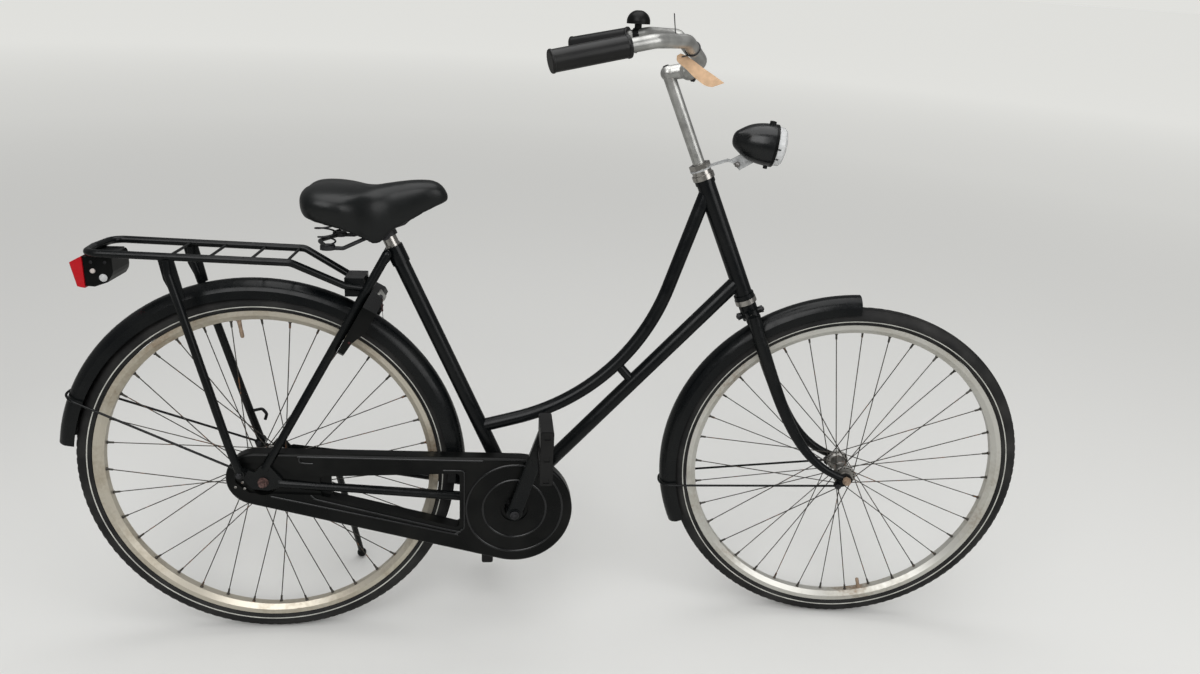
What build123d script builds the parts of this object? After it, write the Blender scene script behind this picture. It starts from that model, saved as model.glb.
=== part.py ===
# City bicycle with a curved step-through frame, full chaincase, rear rack and ring lock.
# Every piece is drawn on the straight, upright bicycle: +X forward, +Y to the rider's left,
# +Z up, millimetres, origin on the ground under the rear axle.  At export the steering
# pieces are turned to their parked angle, and the whole bicycle leans onto its side stand.
from build123d import *
from math import atan2, cos, degrees, radians, sin, sqrt, tan
import os

os.makedirs("parts", exist_ok=True)

# ---------------------------------------------------------------- driving dimensions
wheel_radius = 350.0
tyre_section_radius = 19.0
tyre_height = 32.0
front_centre = 671.0
bb_drop = 60.0
seat_angle = 65.7
seat_tube_length = 549.0
head_angle = 66.2
fork_rake = 72.7
head_tube_length = 245.0
stem_length = 198.7

lean_angle = 6.0
steer_angle = -8.4
stand_angle = 0.0

seat_tube_radius = 14.3
down_tube_radius = 14.3
loop_tube_radius = 12.7
head_tube_radius = 17.0
bb_shell_radius = 20.0
bb_shell_half_width = 34.0
stay_radius = 9.0
braze_gap = 0.15
running_fit = 0.05

rear_dropout_y = 60.0
front_dropout_y = 49.0
dropout_thickness = 5.0
axle_radius = 4.8
nut_height = 7.0
nut_width = 15.0
axle_free_end = 6.0

rim_depth = 18.0
rim_half_width = 14.0
rim_wall = 2.0
spoke_radius = 1.0
spoke_count = 36

crank_length = 170.0
crank_angle = 72.0
pedal_length = 92.0
pedal_depth = 104.0
pedal_thickness = 24.0

guard_gap = 24.0
mudguard_half_width = 25.0
mudguard_sheet = 1.6
mudguard_flange = 15.0

rack_tube_radius = 6.6
rack_leg_radius = 7.4
rack_half_width = 60.0
rack_height = 43.0
bar_radius = 11.1

# clearances between neighbours
guard_to_seat_tube = 14.545
guard_to_crown = 4.11
guard_to_bridge = 0.52
wire_on_guard = 0.1

# ---------------------------------------------------------------- derived points
wheel_z = wheel_radius
rim_outer_radius = wheel_radius - tyre_height
rim_inner_radius = rim_outer_radius - rim_depth
mudguard_outer_radius = wheel_radius + guard_gap
guard_centre = Vector(-4, 0, wheel_z + 2)
# the seat tube clears the rear mudguard, which sets the bottom bracket and the wheelbase
bb_z = wheel_z - bb_drop
seat_tube_distance = mudguard_outer_radius + seat_tube_radius + guard_to_seat_tube
bb_rise = (bb_z - guard_centre.Z) * cos(radians(seat_angle))
bb_x = guard_centre.X + (seat_tube_distance - bb_rise) / sin(radians(seat_angle))
wheelbase = bb_x + front_centre
rear_axle = Vector(0, 0, wheel_z)
front_axle = Vector(wheelbase, 0, wheel_z)
bb = Vector(bb_x, 0, bb_z)
seat_dir = Vector(-cos(radians(seat_angle)), 0, sin(radians(seat_angle)))
seat_top = bb + seat_dir * seat_tube_length
head_dir = Vector(-cos(radians(head_angle)), 0, sin(radians(head_angle)))
head_foot_x = wheelbase - fork_rake / sin(radians(head_angle))


def head_axis(z):
    """Point of the steering axis at height z."""
    return Vector(head_foot_x - (z - wheel_z) / tan(radians(head_angle)), 0, z)


def seat_axis(z):
    """Point of the seat tube's axis at height z."""
    return bb + seat_dir * ((z - bb_z) / sin(radians(seat_angle)))


# the fork's crown clears the front mudguard, and the head tube stands on it
crown_radius = 17.0
crown_to_head = 30.0
crown_reach = mudguard_outer_radius + crown_radius + guard_to_crown
fork_length = sqrt(crown_reach**2 - fork_rake**2)
crown_rise = fork_length * sin(radians(head_angle)) - fork_rake * cos(radians(head_angle))
crown_z = wheel_z + crown_rise
head_tube_bottom_z = crown_z + crown_to_head
head_bottom = head_axis(head_tube_bottom_z)
head_top = head_bottom + head_dir * head_tube_length

# ---------------------------------------------------------------- parked placement
# The lean turns about the centre of the tyre's section, so the tyre stays on the ground.
lean_axis = Axis((0, 0, tyre_section_radius), (1, 0, 0))
steer_axis = Axis(head_bottom, head_dir)
nose_drop = -0.039


def parked(shape):
    """Lean a finished piece with the bicycle."""
    dipped = shape.rotate(Axis((0, 0, wheel_z), (0, 1, 0)), nose_drop)
    return dipped.rotate(lean_axis, -lean_angle)


def parked_steering(shape):
    """Turn a finished piece with the steering, then lean it."""
    return parked(shape.rotate(steer_axis, steer_angle))


def save(shape, name, place=parked):
    """Label a finished piece and write it as its own STEP file."""
    piece = place(shape)
    piece.label = name
    export_step(piece, f"parts/{name}.step")


# ---------------------------------------------------------------- shared builders
def tube(points, radius, bend=0.0):
    """A round tube along straight runs joined by tangent arcs."""
    with BuildPart() as piece:
        with BuildLine() as route:
            if bend > 0:
                FilletPolyline(*points, radius=bend)
            else:
                Polyline(*points)
        with BuildSketch(Plane(route.line @ 0, z_dir=route.line % 0)):
            Circle(radius)
        sweep(path=route.line, transition=Transition.ROUND)
    return piece.part


def rod(start, end, radius, end_radius=None):
    """A straight round bar, tapered when a second radius is given."""
    axis = Vector(*end) - Vector(*start)
    plane = Plane(origin=start, z_dir=axis)
    if end_radius is None:
        return Solid.make_cylinder(radius, axis.length, plane)
    return Solid.make_cone(radius, end_radius, axis.length, plane)


def tapered(points, radii):
    """A round bar lofted through circles set square to its route."""
    with BuildPart() as piece:
        with BuildLine() as route:
            Spline(*points)
        count = len(radii)
        for i, radius in enumerate(radii):
            at = i / (count - 1)
            with BuildSketch(Plane(route.line @ at, z_dir=route.line % at)):
                Circle(radius)
        loft()
    return piece.part


def mirrored(shape):
    """The same piece on the other side of the bicycle."""
    return shape.mirror(Plane.XZ)


# ---------------------------------------------------------------- frame tubes
head_cutter = rod(head_bottom - head_dir * 5, head_top + head_dir * 5, head_tube_radius + braze_gap)
seat_cutter = rod(bb, seat_top, seat_tube_radius + braze_gap)
bb_cutter = rod((bb_x, -40, bb_z), (bb_x, 40, bb_z), bb_shell_radius + braze_gap)

with BuildPart() as head_tube:
    add(rod(head_bottom, head_top, head_tube_radius))
    add(rod(head_bottom, head_bottom + head_dir * 9, head_tube_radius + 2.4))
    add(rod(head_top - head_dir * 9, head_top, head_tube_radius + 1.6))
    add(
        rod(head_bottom - head_dir * 2, head_top + head_dir * 2, 13.0),
        mode=Mode.SUBTRACT,
    )

with BuildPart() as seat_tube:
    add(rod((bb_x, -bb_shell_half_width, bb_z), (bb_x, bb_shell_half_width, bb_z), bb_shell_radius))
    add(rod(bb, seat_top, seat_tube_radius))
    add(rod(seat_top - seat_dir * 34, seat_top, seat_tube_radius + 2.2))
    add(rod(seat_top - seat_dir * 100, seat_top + seat_dir * 5, 12.75), mode=Mode.SUBTRACT)
    add(rod((bb_x, -40, bb_z), (bb_x, 40, bb_z), 17.0), mode=Mode.SUBTRACT)

with BuildPart() as bb_cups:
    for side in (-1, 1):
        add(rod((bb_x, side * 22, bb_z), (bb_x, side * 33.5, bb_z), 16.9))
    add(rod((bb_x, -40, bb_z), (bb_x, 40, bb_z), 8.0 + running_fit), mode=Mode.SUBTRACT)

down_tube_foot = Vector(bb_x + 8, 0, bb_z + 6)
down_tube_head = head_axis(head_tube_bottom_z + 35)
down_tube_dir = (down_tube_head - down_tube_foot).normalized()
down_tube_up = Vector(-down_tube_dir.Z, 0, down_tube_dir.X)
with BuildPart() as down_tube:
    add(rod(down_tube_foot, down_tube_head, down_tube_radius))
    add(bb_cutter, mode=Mode.SUBTRACT)
    add(seat_cutter, mode=Mode.SUBTRACT)
    add(head_cutter, mode=Mode.SUBTRACT)

loop_foot = seat_axis(bb_z + 148)
loop_corner = down_tube_foot + down_tube_dir * 299.1 - down_tube_up * 6.9
loop_head = head_top - head_dir * 20
loop_bend = 405.0
strut_foot = down_tube_foot + down_tube_dir * 322
strut_top = down_tube_foot + down_tube_dir * 326 + down_tube_up * 45
down_tube_cutter = rod(down_tube_foot, down_tube_head, down_tube_radius + braze_gap)
with BuildPart() as loop_tube:
    add(tube([loop_foot, loop_corner, loop_head], loop_tube_radius, loop_bend))
    add(rod(strut_top, strut_foot, 9.0))
    add(down_tube_cutter, mode=Mode.SUBTRACT)
    add(seat_cutter, mode=Mode.SUBTRACT)
    add(head_cutter, mode=Mode.SUBTRACT)

# ---------------------------------------------------------------- rear triangle
chainstay_y = 25.0


def dropout_plate():
    """Right rear dropout: a flat plate with its axle slot and an eyelet for the stays."""
    outer = rear_dropout_y + dropout_thickness / 2
    with BuildPart() as plate:
        with BuildSketch(Plane.XZ.offset(outer - dropout_thickness)):
            with BuildLine():
                Polyline(
                    (-46, wheel_z + 34),
                    (-40, wheel_z + 12),
                    (-20, wheel_z - 14),
                    (8, wheel_z - 17),
                    (34, wheel_z - 10),
                    (34, wheel_z + 6),
                    (12, wheel_z + 34),
                    (-2, wheel_z + 34),
                    (-14, wheel_z + 20),
                    (-28, wheel_z + 26),
                    close=True,
                )
            make_face()
        extrude(amount=dropout_thickness)
        fillet(plate.edges().filter_by(Axis.Y), 3.0)
        add(rod((0, -80, wheel_z), (0, 80, wheel_z), axle_radius + running_fit), mode=Mode.SUBTRACT)
    return plate.part


right_plate = dropout_plate()
plate_cutter = Solid.make_box(
    90, dropout_thickness + 2 * braze_gap, 60,
    Plane((-50, -rear_dropout_y - dropout_thickness / 2 - braze_gap, wheel_z - 26)),
)
stay_front = Vector(bb_x - 6, chainstay_y, bb_z + 1)
stay_rear = Vector(26, rear_dropout_y, wheel_z - 3)


def left_chainstay(x):
    """Point of the left chainstay's axis at x."""
    return stay_rear + (stay_front - stay_rear) * ((x - stay_rear.X) / (stay_front.X - stay_rear.X))


with BuildPart() as chainstay_right:
    add(mirrored(rod(stay_front, stay_rear, stay_radius + 0.5, 7.5)))
    add(right_plate)
    add(bb_cutter, mode=Mode.SUBTRACT)

# torque arm of the back-pedal brake: inside the left dropout, over the stay, held by a clip
brake_arm_thickness = 3.0
brake_clip = left_chainstay(140)
brake_bolt = Vector(brake_clip.X, 0, brake_clip.Z + 19)
with BuildPart() as chainstay_left:
    add(mirrored(chainstay_right.part))
    with BuildSketch(Plane.XZ.offset(dropout_thickness / 2 - rear_dropout_y)):
        with Locations((0, wheel_z)):
            Circle(13)
        with Locations((brake_bolt.X, brake_bolt.Z)):
            Circle(7.5)
        with BuildLine():
            Polyline(
                (-4, wheel_z + 11),
                (30, wheel_z + 23),
                (brake_bolt.X + 1, brake_bolt.Z + 7),
                (brake_bolt.X - 1, brake_bolt.Z - 7),
                (28, wheel_z + 5.5),
                (8, wheel_z - 9),
                close=True,
            )
        make_face()
    extrude(amount=brake_arm_thickness)
    stay_run = (stay_front - stay_rear).normalized()
    add(rod(brake_clip - stay_run * 6, brake_clip + stay_run * 6, stay_radius + 0.8))
    bolt_y = rear_dropout_y - dropout_thickness / 2
    add(rod((brake_bolt.X, bolt_y - 7, brake_bolt.Z), (brake_bolt.X, bolt_y + 4, brake_bolt.Z), 4.5))
    tab = Plane((brake_clip.X - 6, bolt_y - brake_arm_thickness, brake_clip.Z + 7))
    add(Solid.make_box(12, brake_arm_thickness, 10, tab))
    add(rod((0, 30, wheel_z), (0, 80, wheel_z), axle_radius + running_fit), mode=Mode.SUBTRACT)

seat_stay_top = Vector(seat_top.X - 9.1, -24.0, seat_top.Z - 11.4)
seat_stay_foot = Vector(4, -rear_dropout_y, wheel_z + 26)
with BuildPart() as seatstay_right:
    add(rod(seat_stay_foot, seat_stay_top, 7.5, stay_radius - 0.5))
    add(Solid.make_sphere(stay_radius - 0.5, Plane(seat_stay_top)))
    add(seat_cutter, mode=Mode.SUBTRACT)
    add(rod(seat_top - seat_dir * 36, seat_top, seat_tube_radius + 2.2 + braze_gap), mode=Mode.SUBTRACT)
    add(plate_cutter, mode=Mode.SUBTRACT)

# side view of the seat stay: its foot, its direction and the direction square to it
stay_foot = Vector(seat_stay_foot.X, 0, seat_stay_foot.Z)
stay_up = (Vector(seat_stay_top.X, 0, seat_stay_top.Z) - stay_foot).normalized()
stay_out = Vector(stay_up.Z, 0, -stay_up.X)


def stay_beside_guard(distance):
    """Point of the seat stay's line, in side view, at a distance from the mudguard's centre."""
    reach = stay_foot - guard_centre
    along = reach.dot(stay_up)
    return stay_foot + stay_up * (sqrt(along**2 - reach.length**2 + distance**2) - along)


bridge_radius = 6.0
stay_bridge = stay_beside_guard(mudguard_outer_radius + bridge_radius + guard_to_bridge)
with BuildPart() as seatstay_bridge:
    add(rod(stay_bridge - Vector(0, 32, 0), stay_bridge + Vector(0, 32, 0), bridge_radius))
    for stay in (seatstay_right.part, mirrored(seatstay_right.part)):
        add(stay, mode=Mode.SUBTRACT)

guard_front_x = guard_centre.X + mudguard_outer_radius
chain_bridge_x = guard_front_x + 14
chain_bridge = Vector(chain_bridge_x, 0, left_chainstay(chain_bridge_x).Z)
with BuildPart() as chainstay_bridge:
    add(rod(chain_bridge - Vector(0, 31, 0), chain_bridge + Vector(0, 31, 0), bridge_radius))
    for stay in (chainstay_right.part, mirrored(chainstay_right.part)):
        add(stay, mode=Mode.SUBTRACT)
    with BuildSketch(Plane.XZ.offset(-9)):
        with BuildLine():
            Polyline(
                (chain_bridge.X - 2, chain_bridge.Z + 2.2),
                (guard_front_x - 0.1, guard_centre.Z - 19),
                (guard_front_x + 2.9, guard_centre.Z - 19),
                (chain_bridge.X + 3, chain_bridge.Z + 2.2),
                close=True,
            )
        make_face()
    extrude(amount=18)

# ---------------------------------------------------------------- saddle and post
post_top = seat_top + seat_dir * 28
with BuildPart() as seat_post:
    add(rod(seat_top - seat_dir * 80, post_top, 12.7))
    add(rod(seat_top + seat_dir * 0.1, seat_top + seat_dir * 4, 13.5))

saddle_pin = seat_top + seat_dir * 30
# x from the clamp, half width, top and bottom above the clamp, from the saddle's tail to its nose
saddle_stations = (
    (-143.7, 62, 68.3, 44.3),
    (-127.7, 92, 82.3, 28.3),
    (-77.7, 100, 84.3, 14.3),
    (-31.7, 78, 83.3, -11.7),
    (-13.7, 58, 84.3, -20.7),
    (22.3, 36, 88.3, 8.3),
    (72.3, 26, 92.3, 38.3),
    (102.3, 16, 80.3, 56.3),
    (109.3, 9, 70.3, 61.3),
)
saddle_wall = 10.0
saddle_padding = 24.0

with BuildPart() as saddle:
    for x, half, top, bottom in saddle_stations:
        with BuildSketch(Plane.YZ.offset(saddle_pin.X + x)):
            with Locations((0, saddle_pin.Z + (top + bottom) / 2)):
                RectangleRounded(2 * half, top - bottom, min(half, (top - bottom) / 2) * 0.9)
    loft()
    # the cover is open underneath, behind its solid nose
    with BuildPart(mode=Mode.SUBTRACT):
        for x, half, top, bottom in saddle_stations[1:-2]:
            with BuildSketch(Plane.YZ.offset(saddle_pin.X + x)):
                with Locations((0, saddle_pin.Z + (top - saddle_padding + bottom - 30) / 2)):
                    RectangleRounded(2 * (half - saddle_wall), top - saddle_padding - bottom + 30, 8)
        loft(ruled=True)

rail_radius = 3.5
spring_seat = saddle_pin + Vector(-91.7, 60, -17.7)
spring_radius = 11.0
with BuildPart() as saddle_frame:
    # clamp on the post, its cross bolt and the washers that grip the rails
    add(rod(saddle_pin - seat_dir * 11, saddle_pin + seat_dir * 9, 17.0))
    add(rod(saddle_pin - Vector(0, 34, 0), saddle_pin + Vector(0, 34, 0), 4.5))
    for side in (-1, 1):
        add(rod(saddle_pin + Vector(0, side * 19, 0), saddle_pin + Vector(0, side * 30, 0), 12.0))
        nose = saddle_pin + Vector(86.3, side * 8, 66.3)
        knee = saddle_pin + Vector(34.3, side * 20, 18.3)
        grip_point = (saddle_pin.X, side * 24.5, saddle_pin.Z + 6)
        rear = (spring_seat.X + 26, side * spring_seat.Y, spring_seat.Z - rail_radius)
        end = (spring_seat.X, side * spring_seat.Y, spring_seat.Z - rail_radius)
        add(tube([nose, knee, grip_point, rear, end], rail_radius, 8))
        seat = Vector(spring_seat.X, side * spring_seat.Y, spring_seat.Z)
        add(rod(seat - Vector(0, 0, 6), seat, 13.0))
    tail = spring_seat - Vector(0, 0, rail_radius)
    add(tube([tail, (tail.X - 26, 0, tail.Z), (tail.X, -tail.Y, tail.Z)], rail_radius, 20))
    add(saddle.part, mode=Mode.SUBTRACT)
    add(rod(seat_top - seat_dir * 5, post_top, 12.7 + braze_gap), mode=Mode.SUBTRACT)


def saddle_spring():
    """Left coil spring between the rails' end and the underside of the cover."""
    foot = spring_seat + Vector(0, 0, 0.1)
    with BuildPart() as spring:
        add(rod(foot, foot + Vector(0, 0, 3), 12.5))
        add(rod(foot + Vector(0, 0, 68), foot + Vector(0, 0, 90), 12.5))
        with BuildLine(Plane(foot + Vector(0, 0, 2))) as coil:
            Helix(pitch=9.0, height=67.0, radius=spring_radius)
        with BuildSketch(Plane(coil.line @ 0, z_dir=coil.line % 0)):
            Circle(2.2)
        sweep(path=coil.line, is_frenet=True)
        add(saddle.part, mode=Mode.SUBTRACT)
        add(rod(foot + Vector(0, 0, 86), foot + Vector(0, 0, 120), 20.0), mode=Mode.SUBTRACT)
    return spring.part


# ---------------------------------------------------------------- wheels
def tyre(centre):
    """A full-section tyre; its bore seats on the rim."""
    with BuildPart() as piece:
        with BuildSketch(Plane.YZ.offset(centre.X)):
            with Locations((0, centre.Z + wheel_radius - tyre_section_radius)):
                RegularPolygon(tyre_section_radius, 12, rotation=90)
            with Locations((0, centre.Z + rim_outer_radius - 8)):
                Rectangle(80, 16.4, mode=Mode.SUBTRACT)
        revolve(axis=Axis(centre, (0, 1, 0)))
    return piece.part


def rim(centre):
    """A box-section rim with a dished inner wall."""
    with BuildPart() as piece:
        with BuildSketch(Plane.YZ.offset(centre.X)):
            with BuildLine():
                Polyline(
                    (-rim_half_width, centre.Z + rim_outer_radius),
                    (-rim_half_width, centre.Z + rim_outer_radius - 9),
                    (-7, centre.Z + rim_inner_radius),
                    (7, centre.Z + rim_inner_radius),
                    (rim_half_width, centre.Z + rim_outer_radius - 9),
                    (rim_half_width, centre.Z + rim_outer_radius),
                    close=True,
                )
            make_face()
        revolve(axis=Axis(centre, (0, 1, 0)))
    return piece.part


def spoked_hub(centre, shell_radius, flange_radius, flange_y, half_width):
    """Hub shell with two flanges; its tangent-laced spokes stop at the rim's inner wall."""
    hole_radius = flange_radius - 3.5
    per_side = spoke_count // 2
    rim_step = 360 / spoke_count
    with BuildPart() as piece:
        add(rod(centre - Vector(0, half_width, 0), centre + Vector(0, half_width, 0), shell_radius * 0.72))
        add(rod(centre - Vector(0, flange_y, 0), centre + Vector(0, flange_y, 0), shell_radius))
        for side in (-1, 1):
            y = side * flange_y
            add(rod(centre + Vector(0, y - 1.5, 0), centre + Vector(0, y + 1.5, 0), flange_radius))
        add(
            rod(centre - Vector(0, 90, 0), centre + Vector(0, 90, 0), axle_radius + running_fit),
            mode=Mode.SUBTRACT,
        )
        for side in (-1, 1):
            for i in range(per_side):
                lean = 1 if i % 2 else -1
                rim_angle = radians(2 * rim_step * i + (rim_step if side > 0 else 0))
                hub_angle = rim_angle + lean * radians(62)
                y_hub = side * (flange_y + lean * (1.5 + spoke_radius * 0.6))
                start = centre + Vector(hole_radius * cos(hub_angle), y_hub, hole_radius * sin(hub_angle))
                reach = rim_inner_radius - 0.2
                end = centre + Vector(reach * cos(rim_angle), side * 3.0, reach * sin(rim_angle))
                with BuildSketch(Plane(origin=start, z_dir=end - start)):
                    RegularPolygon(spoke_radius, 4)
                extrude(amount=(end - start).length)
    return piece.part


def axle(centre, dropout_y):
    """Solid axle with a hexagon nut outside each dropout and a free threaded end."""
    seat = dropout_y + dropout_thickness / 2 + 0.1
    reach = Vector(0, seat + nut_height + axle_free_end, 0)
    with BuildPart() as piece:
        add(rod(centre - reach, centre + reach, axle_radius))
        for side in (-1, 1):
            with BuildSketch(Plane(centre + Vector(0, side * seat, 0), z_dir=(0, side, 0))):
                RegularPolygon(nut_width / 2, 6, major_radius=False)
            extrude(amount=nut_height)
    return piece.part


# ---------------------------------------------------------------- mudguards
def mudguard(centre, start, end, half_width=mudguard_half_width):
    """A rolled sheet guard: rounded crown, flat side skirts, open underneath."""
    crown = mudguard_outer_radius - mudguard_half_width
    with BuildPart() as piece:
        with BuildSketch(Plane.YZ.offset(centre.X)):
            for shrink, mode in ((0.0, Mode.ADD), (mudguard_sheet, Mode.SUBTRACT)):
                width = half_width - shrink
                with BuildLine():
                    skirt = centre.Z + mudguard_outer_radius - 18 - mudguard_flange
                    shoulder = centre.Z + mudguard_outer_radius - 18
                    low = skirt - (1 if shrink else 0)
                    Line((-width, low), (-width, shoulder))
                    ThreePointArc((-width, shoulder), (0, centre.Z + mudguard_outer_radius - shrink), (width, shoulder))
                    Line((width, shoulder), (width, low))
                    Line((width, low), (-width, low))
                make_face(mode=mode)
        revolve(axis=Axis(centre, (0, -1, 0)), revolution_arc=end - start)
    return piece.part.rotate(Axis(centre, (0, -1, 0)), start - 90)


rear_guard_start = -4.0
rear_guard_end = 171.0
front_guard_start = 92.5
front_guard_end = 202.5

# ---------------------------------------------------------------- chaincase
case_inner_y = 34.3
case_outer_y = 62.0
case_disc_radius = 110.5
case_disc = (bb_x + 2, bb_z - 5)
case_tail = (-15.0, wheel_z + 5)
case_tail_radius = 53.0
case_seam_x = 4.0
case_edge_round = 6.0
case_hole_radius = 20.0
bead_height = 1.2
bead_width = 2.4


def case_blank(front):
    """Half of the chaincase's tapered body, in front of or behind its seam."""
    with BuildPart() as blank:
        with BuildSketch(Plane.XZ.offset(case_inner_y)):
            with Locations(case_disc):
                Circle(case_disc_radius)
            with Locations(case_tail):
                Circle(case_tail_radius)
            make_hull()
        extrude(amount=case_outer_y - case_inner_y)
        fillet(blank.faces().sort_by(Axis.Y)[0].outer_wire().edges(), case_edge_round)
        start = case_seam_x + 0.1 if front else case_seam_x - 700.1
        with BuildSketch(Plane.XZ):
            with Locations((start + 350, wheel_z)):
                Rectangle(700, 400)
        extrude(amount=100, mode=Mode.INTERSECT)
        # clearance round the hub's end, the dropout plate and the axle nut
        add(rod((0, -70, wheel_z), (0, -20, wheel_z), 27.0), mode=Mode.SUBTRACT)
        with BuildSketch(Plane.XZ.offset(rear_dropout_y - dropout_thickness / 2 - 0.3)):
            with BuildLine():
                Polyline(
                    (104, wheel_z + 11),
                    (104, wheel_z - 28),
                    (20, wheel_z - 24),
                    (-26, wheel_z - 22),
                    (-50, wheel_z),
                    (-50, wheel_z + 40),
                    (20, wheel_z + 40),
                    (60, wheel_z + 11),
                    close=True,
                )
            make_face()
        extrude(amount=20, mode=Mode.SUBTRACT)
        # open channel for the seatstay's lower end
        stay_line = seat_stay_top - seat_stay_foot
        for y in (0, -5, -10):
            shift = Vector(0, y, 0)
            channel = rod(seat_stay_foot + shift, seat_stay_foot + shift + stay_line * 0.25, 8.3, 8.5)
            add(channel, mode=Mode.SUBTRACT)
    return blank.part


def case_bead(*points):
    """A raised rib that follows a line on the case's outer face."""
    with BuildPart() as rib:
        with BuildSketch(Plane.XZ.offset(case_outer_y)):
            with BuildLine():
                FilletPolyline(*points, radius=3.5)
            trace(line_width=bead_width)
        extrude(amount=bead_height)
    return rib.part


with BuildPart() as chaincase:
    add(case_blank(front=True))
    # long slot that the right chainstay passes through
    with BuildSketch(Plane.XZ.offset(case_inner_y - 1)) as slot:
        with BuildLine():
            Polyline(
                (102, wheel_z + 11),
                (bb_x - 105, wheel_z + 16),
                (bb_x - 105, bb_z - 40),
                (102, wheel_z - 29),
                close=True,
            )
        make_face()
        fillet(slot.vertices(), 7)
    extrude(amount=40, mode=Mode.SUBTRACT)
    # clip that ties the case to the stay at the slot's rear end
    with BuildSketch(Plane.XZ.offset(50)):
        with BuildLine():
            Polyline(
                (98, wheel_z + 14),
                (116, wheel_z + 14),
                (122, wheel_z + 8),
                (122, wheel_z - 28),
                (116, wheel_z - 36),
                (98, wheel_z - 32),
                close=True,
            )
        make_face()
    extrude(amount=4)
    add(
        mirrored(rod(stay_front, stay_rear, stay_radius + 1.5, 8.5)),
        mode=Mode.SUBTRACT,
    )
    # raised rings round the crank, then the dished opening for its boss
    for radius in (92.5, 61.0):
        with BuildSketch(Plane.XZ.offset(case_outer_y)):
            with Locations((bb_x, bb_z)):
                Circle(radius + bead_width / 2)
                Circle(radius - bead_width / 2, mode=Mode.SUBTRACT)
        extrude(amount=bead_height)
    dish = Vector(bb_x, -case_outer_y, bb_z)
    add(rod(dish + Vector(0, 3, 0), dish - Vector(0, 9, 0), 27.0), mode=Mode.SUBTRACT)
    add(rod((bb_x, -70, bb_z), (bb_x, -20, bb_z), case_hole_radius), mode=Mode.SUBTRACT)
    # pressed ribs: over the upper run, under the lower run and round the slot
    add(
        case_bead(
            (92, wheel_z + 38),
            (72, wheel_z + 39),
            (66, wheel_z + 46),
            (74, wheel_z + 51.5),
            (bb_x - 61, bb_z + 102),
        )
    )
    add(case_bead((12, wheel_z - 29), (bb_x - 114, bb_z - 53.5), (bb_x - 106, bb_z - 50)))
    add(
        case_bead(
            (84, wheel_z - 27),
            (96, wheel_z - 37),
            (bb_x - 111, bb_z - 48),
            (bb_x - 96, bb_z - 42),
            (bb_x - 96, wheel_z + 22),
            (bb_x - 136, wheel_z + 23),
        )
    )

with BuildPart() as chaincase_cover:
    add(case_blank(front=False))
    add(rod((-36, -65.9, wheel_z + 24), (-100, -58.6, wheel_z + 50.8), 2.8), mode=Mode.SUBTRACT)

# ---------------------------------------------------------------- crank set
spindle_half = 74.0
pedal_axle = (
    bb_x + crank_length * cos(radians(crank_angle)),
    bb_z + crank_length * sin(radians(crank_angle)),
)
crank_inner_y = 70.0
crank_outer_y = 84.0


pedal_near_y = crank_outer_y + 6
pedal_far_y = pedal_near_y + pedal_length


def pedal_centre(side):
    """Middle of the pedal's pin on the right (-1) or the left (1), at Y zero."""
    dx = crank_length * cos(radians(crank_angle))
    dz = crank_length * sin(radians(crank_angle))
    return Vector(bb_x - side * dx, 0, bb_z - side * dz)


def crank_arm():
    """Right crank: a flat arm with rounded ends, thicker at the axle, where it has a dust cap."""
    ux, uz = cos(radians(crank_angle)), sin(radians(crank_angle))
    with BuildPart() as arm:
        with BuildSketch(Plane.XZ.offset(crank_inner_y)):
            with Locations((bb_x, bb_z)):
                Circle(15.5)
            with Locations(pedal_axle):
                Circle(12.5)
            with BuildLine():
                Polyline(
                    (bb_x - uz * 14, bb_z + ux * 14),
                    (pedal_axle[0] - uz * 12.5, pedal_axle[1] + ux * 12.5),
                    (pedal_axle[0] + uz * 12.5, pedal_axle[1] - ux * 12.5),
                    (bb_x + uz * 14, bb_z - ux * 14),
                    close=True,
                )
            make_face()
        extrude(amount=crank_outer_y - crank_inner_y)
        chamfer(arm.faces().sort_by(Axis.Y)[0].outer_wire().edges(), 2.5)
        add(rod((bb_x, -crank_inner_y + 4, bb_z), (bb_x, -crank_outer_y - 2, bb_z), 11.0))
        add(rod((bb_x, -crank_outer_y - 1, bb_z), (bb_x, -crank_outer_y - 4, bb_z), 8.0))
    return arm.part


with BuildPart() as crankset:
    add(crank_arm())
    add(crank_arm().mirror(Plane.XZ).rotate(Axis((bb_x, 0, bb_z), (0, 1, 0)), 180))
    add(rod((bb_x, -crank_inner_y - 4, bb_z), (bb_x, crank_inner_y + 4, bb_z), 8.0))
    for side in (-1, 1):
        pin = pedal_centre(side)
        add(rod(pin + Vector(0, side * (crank_outer_y - 2), 0), pin + Vector(0, side * (pedal_far_y - 6), 0), 4.5))


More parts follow.
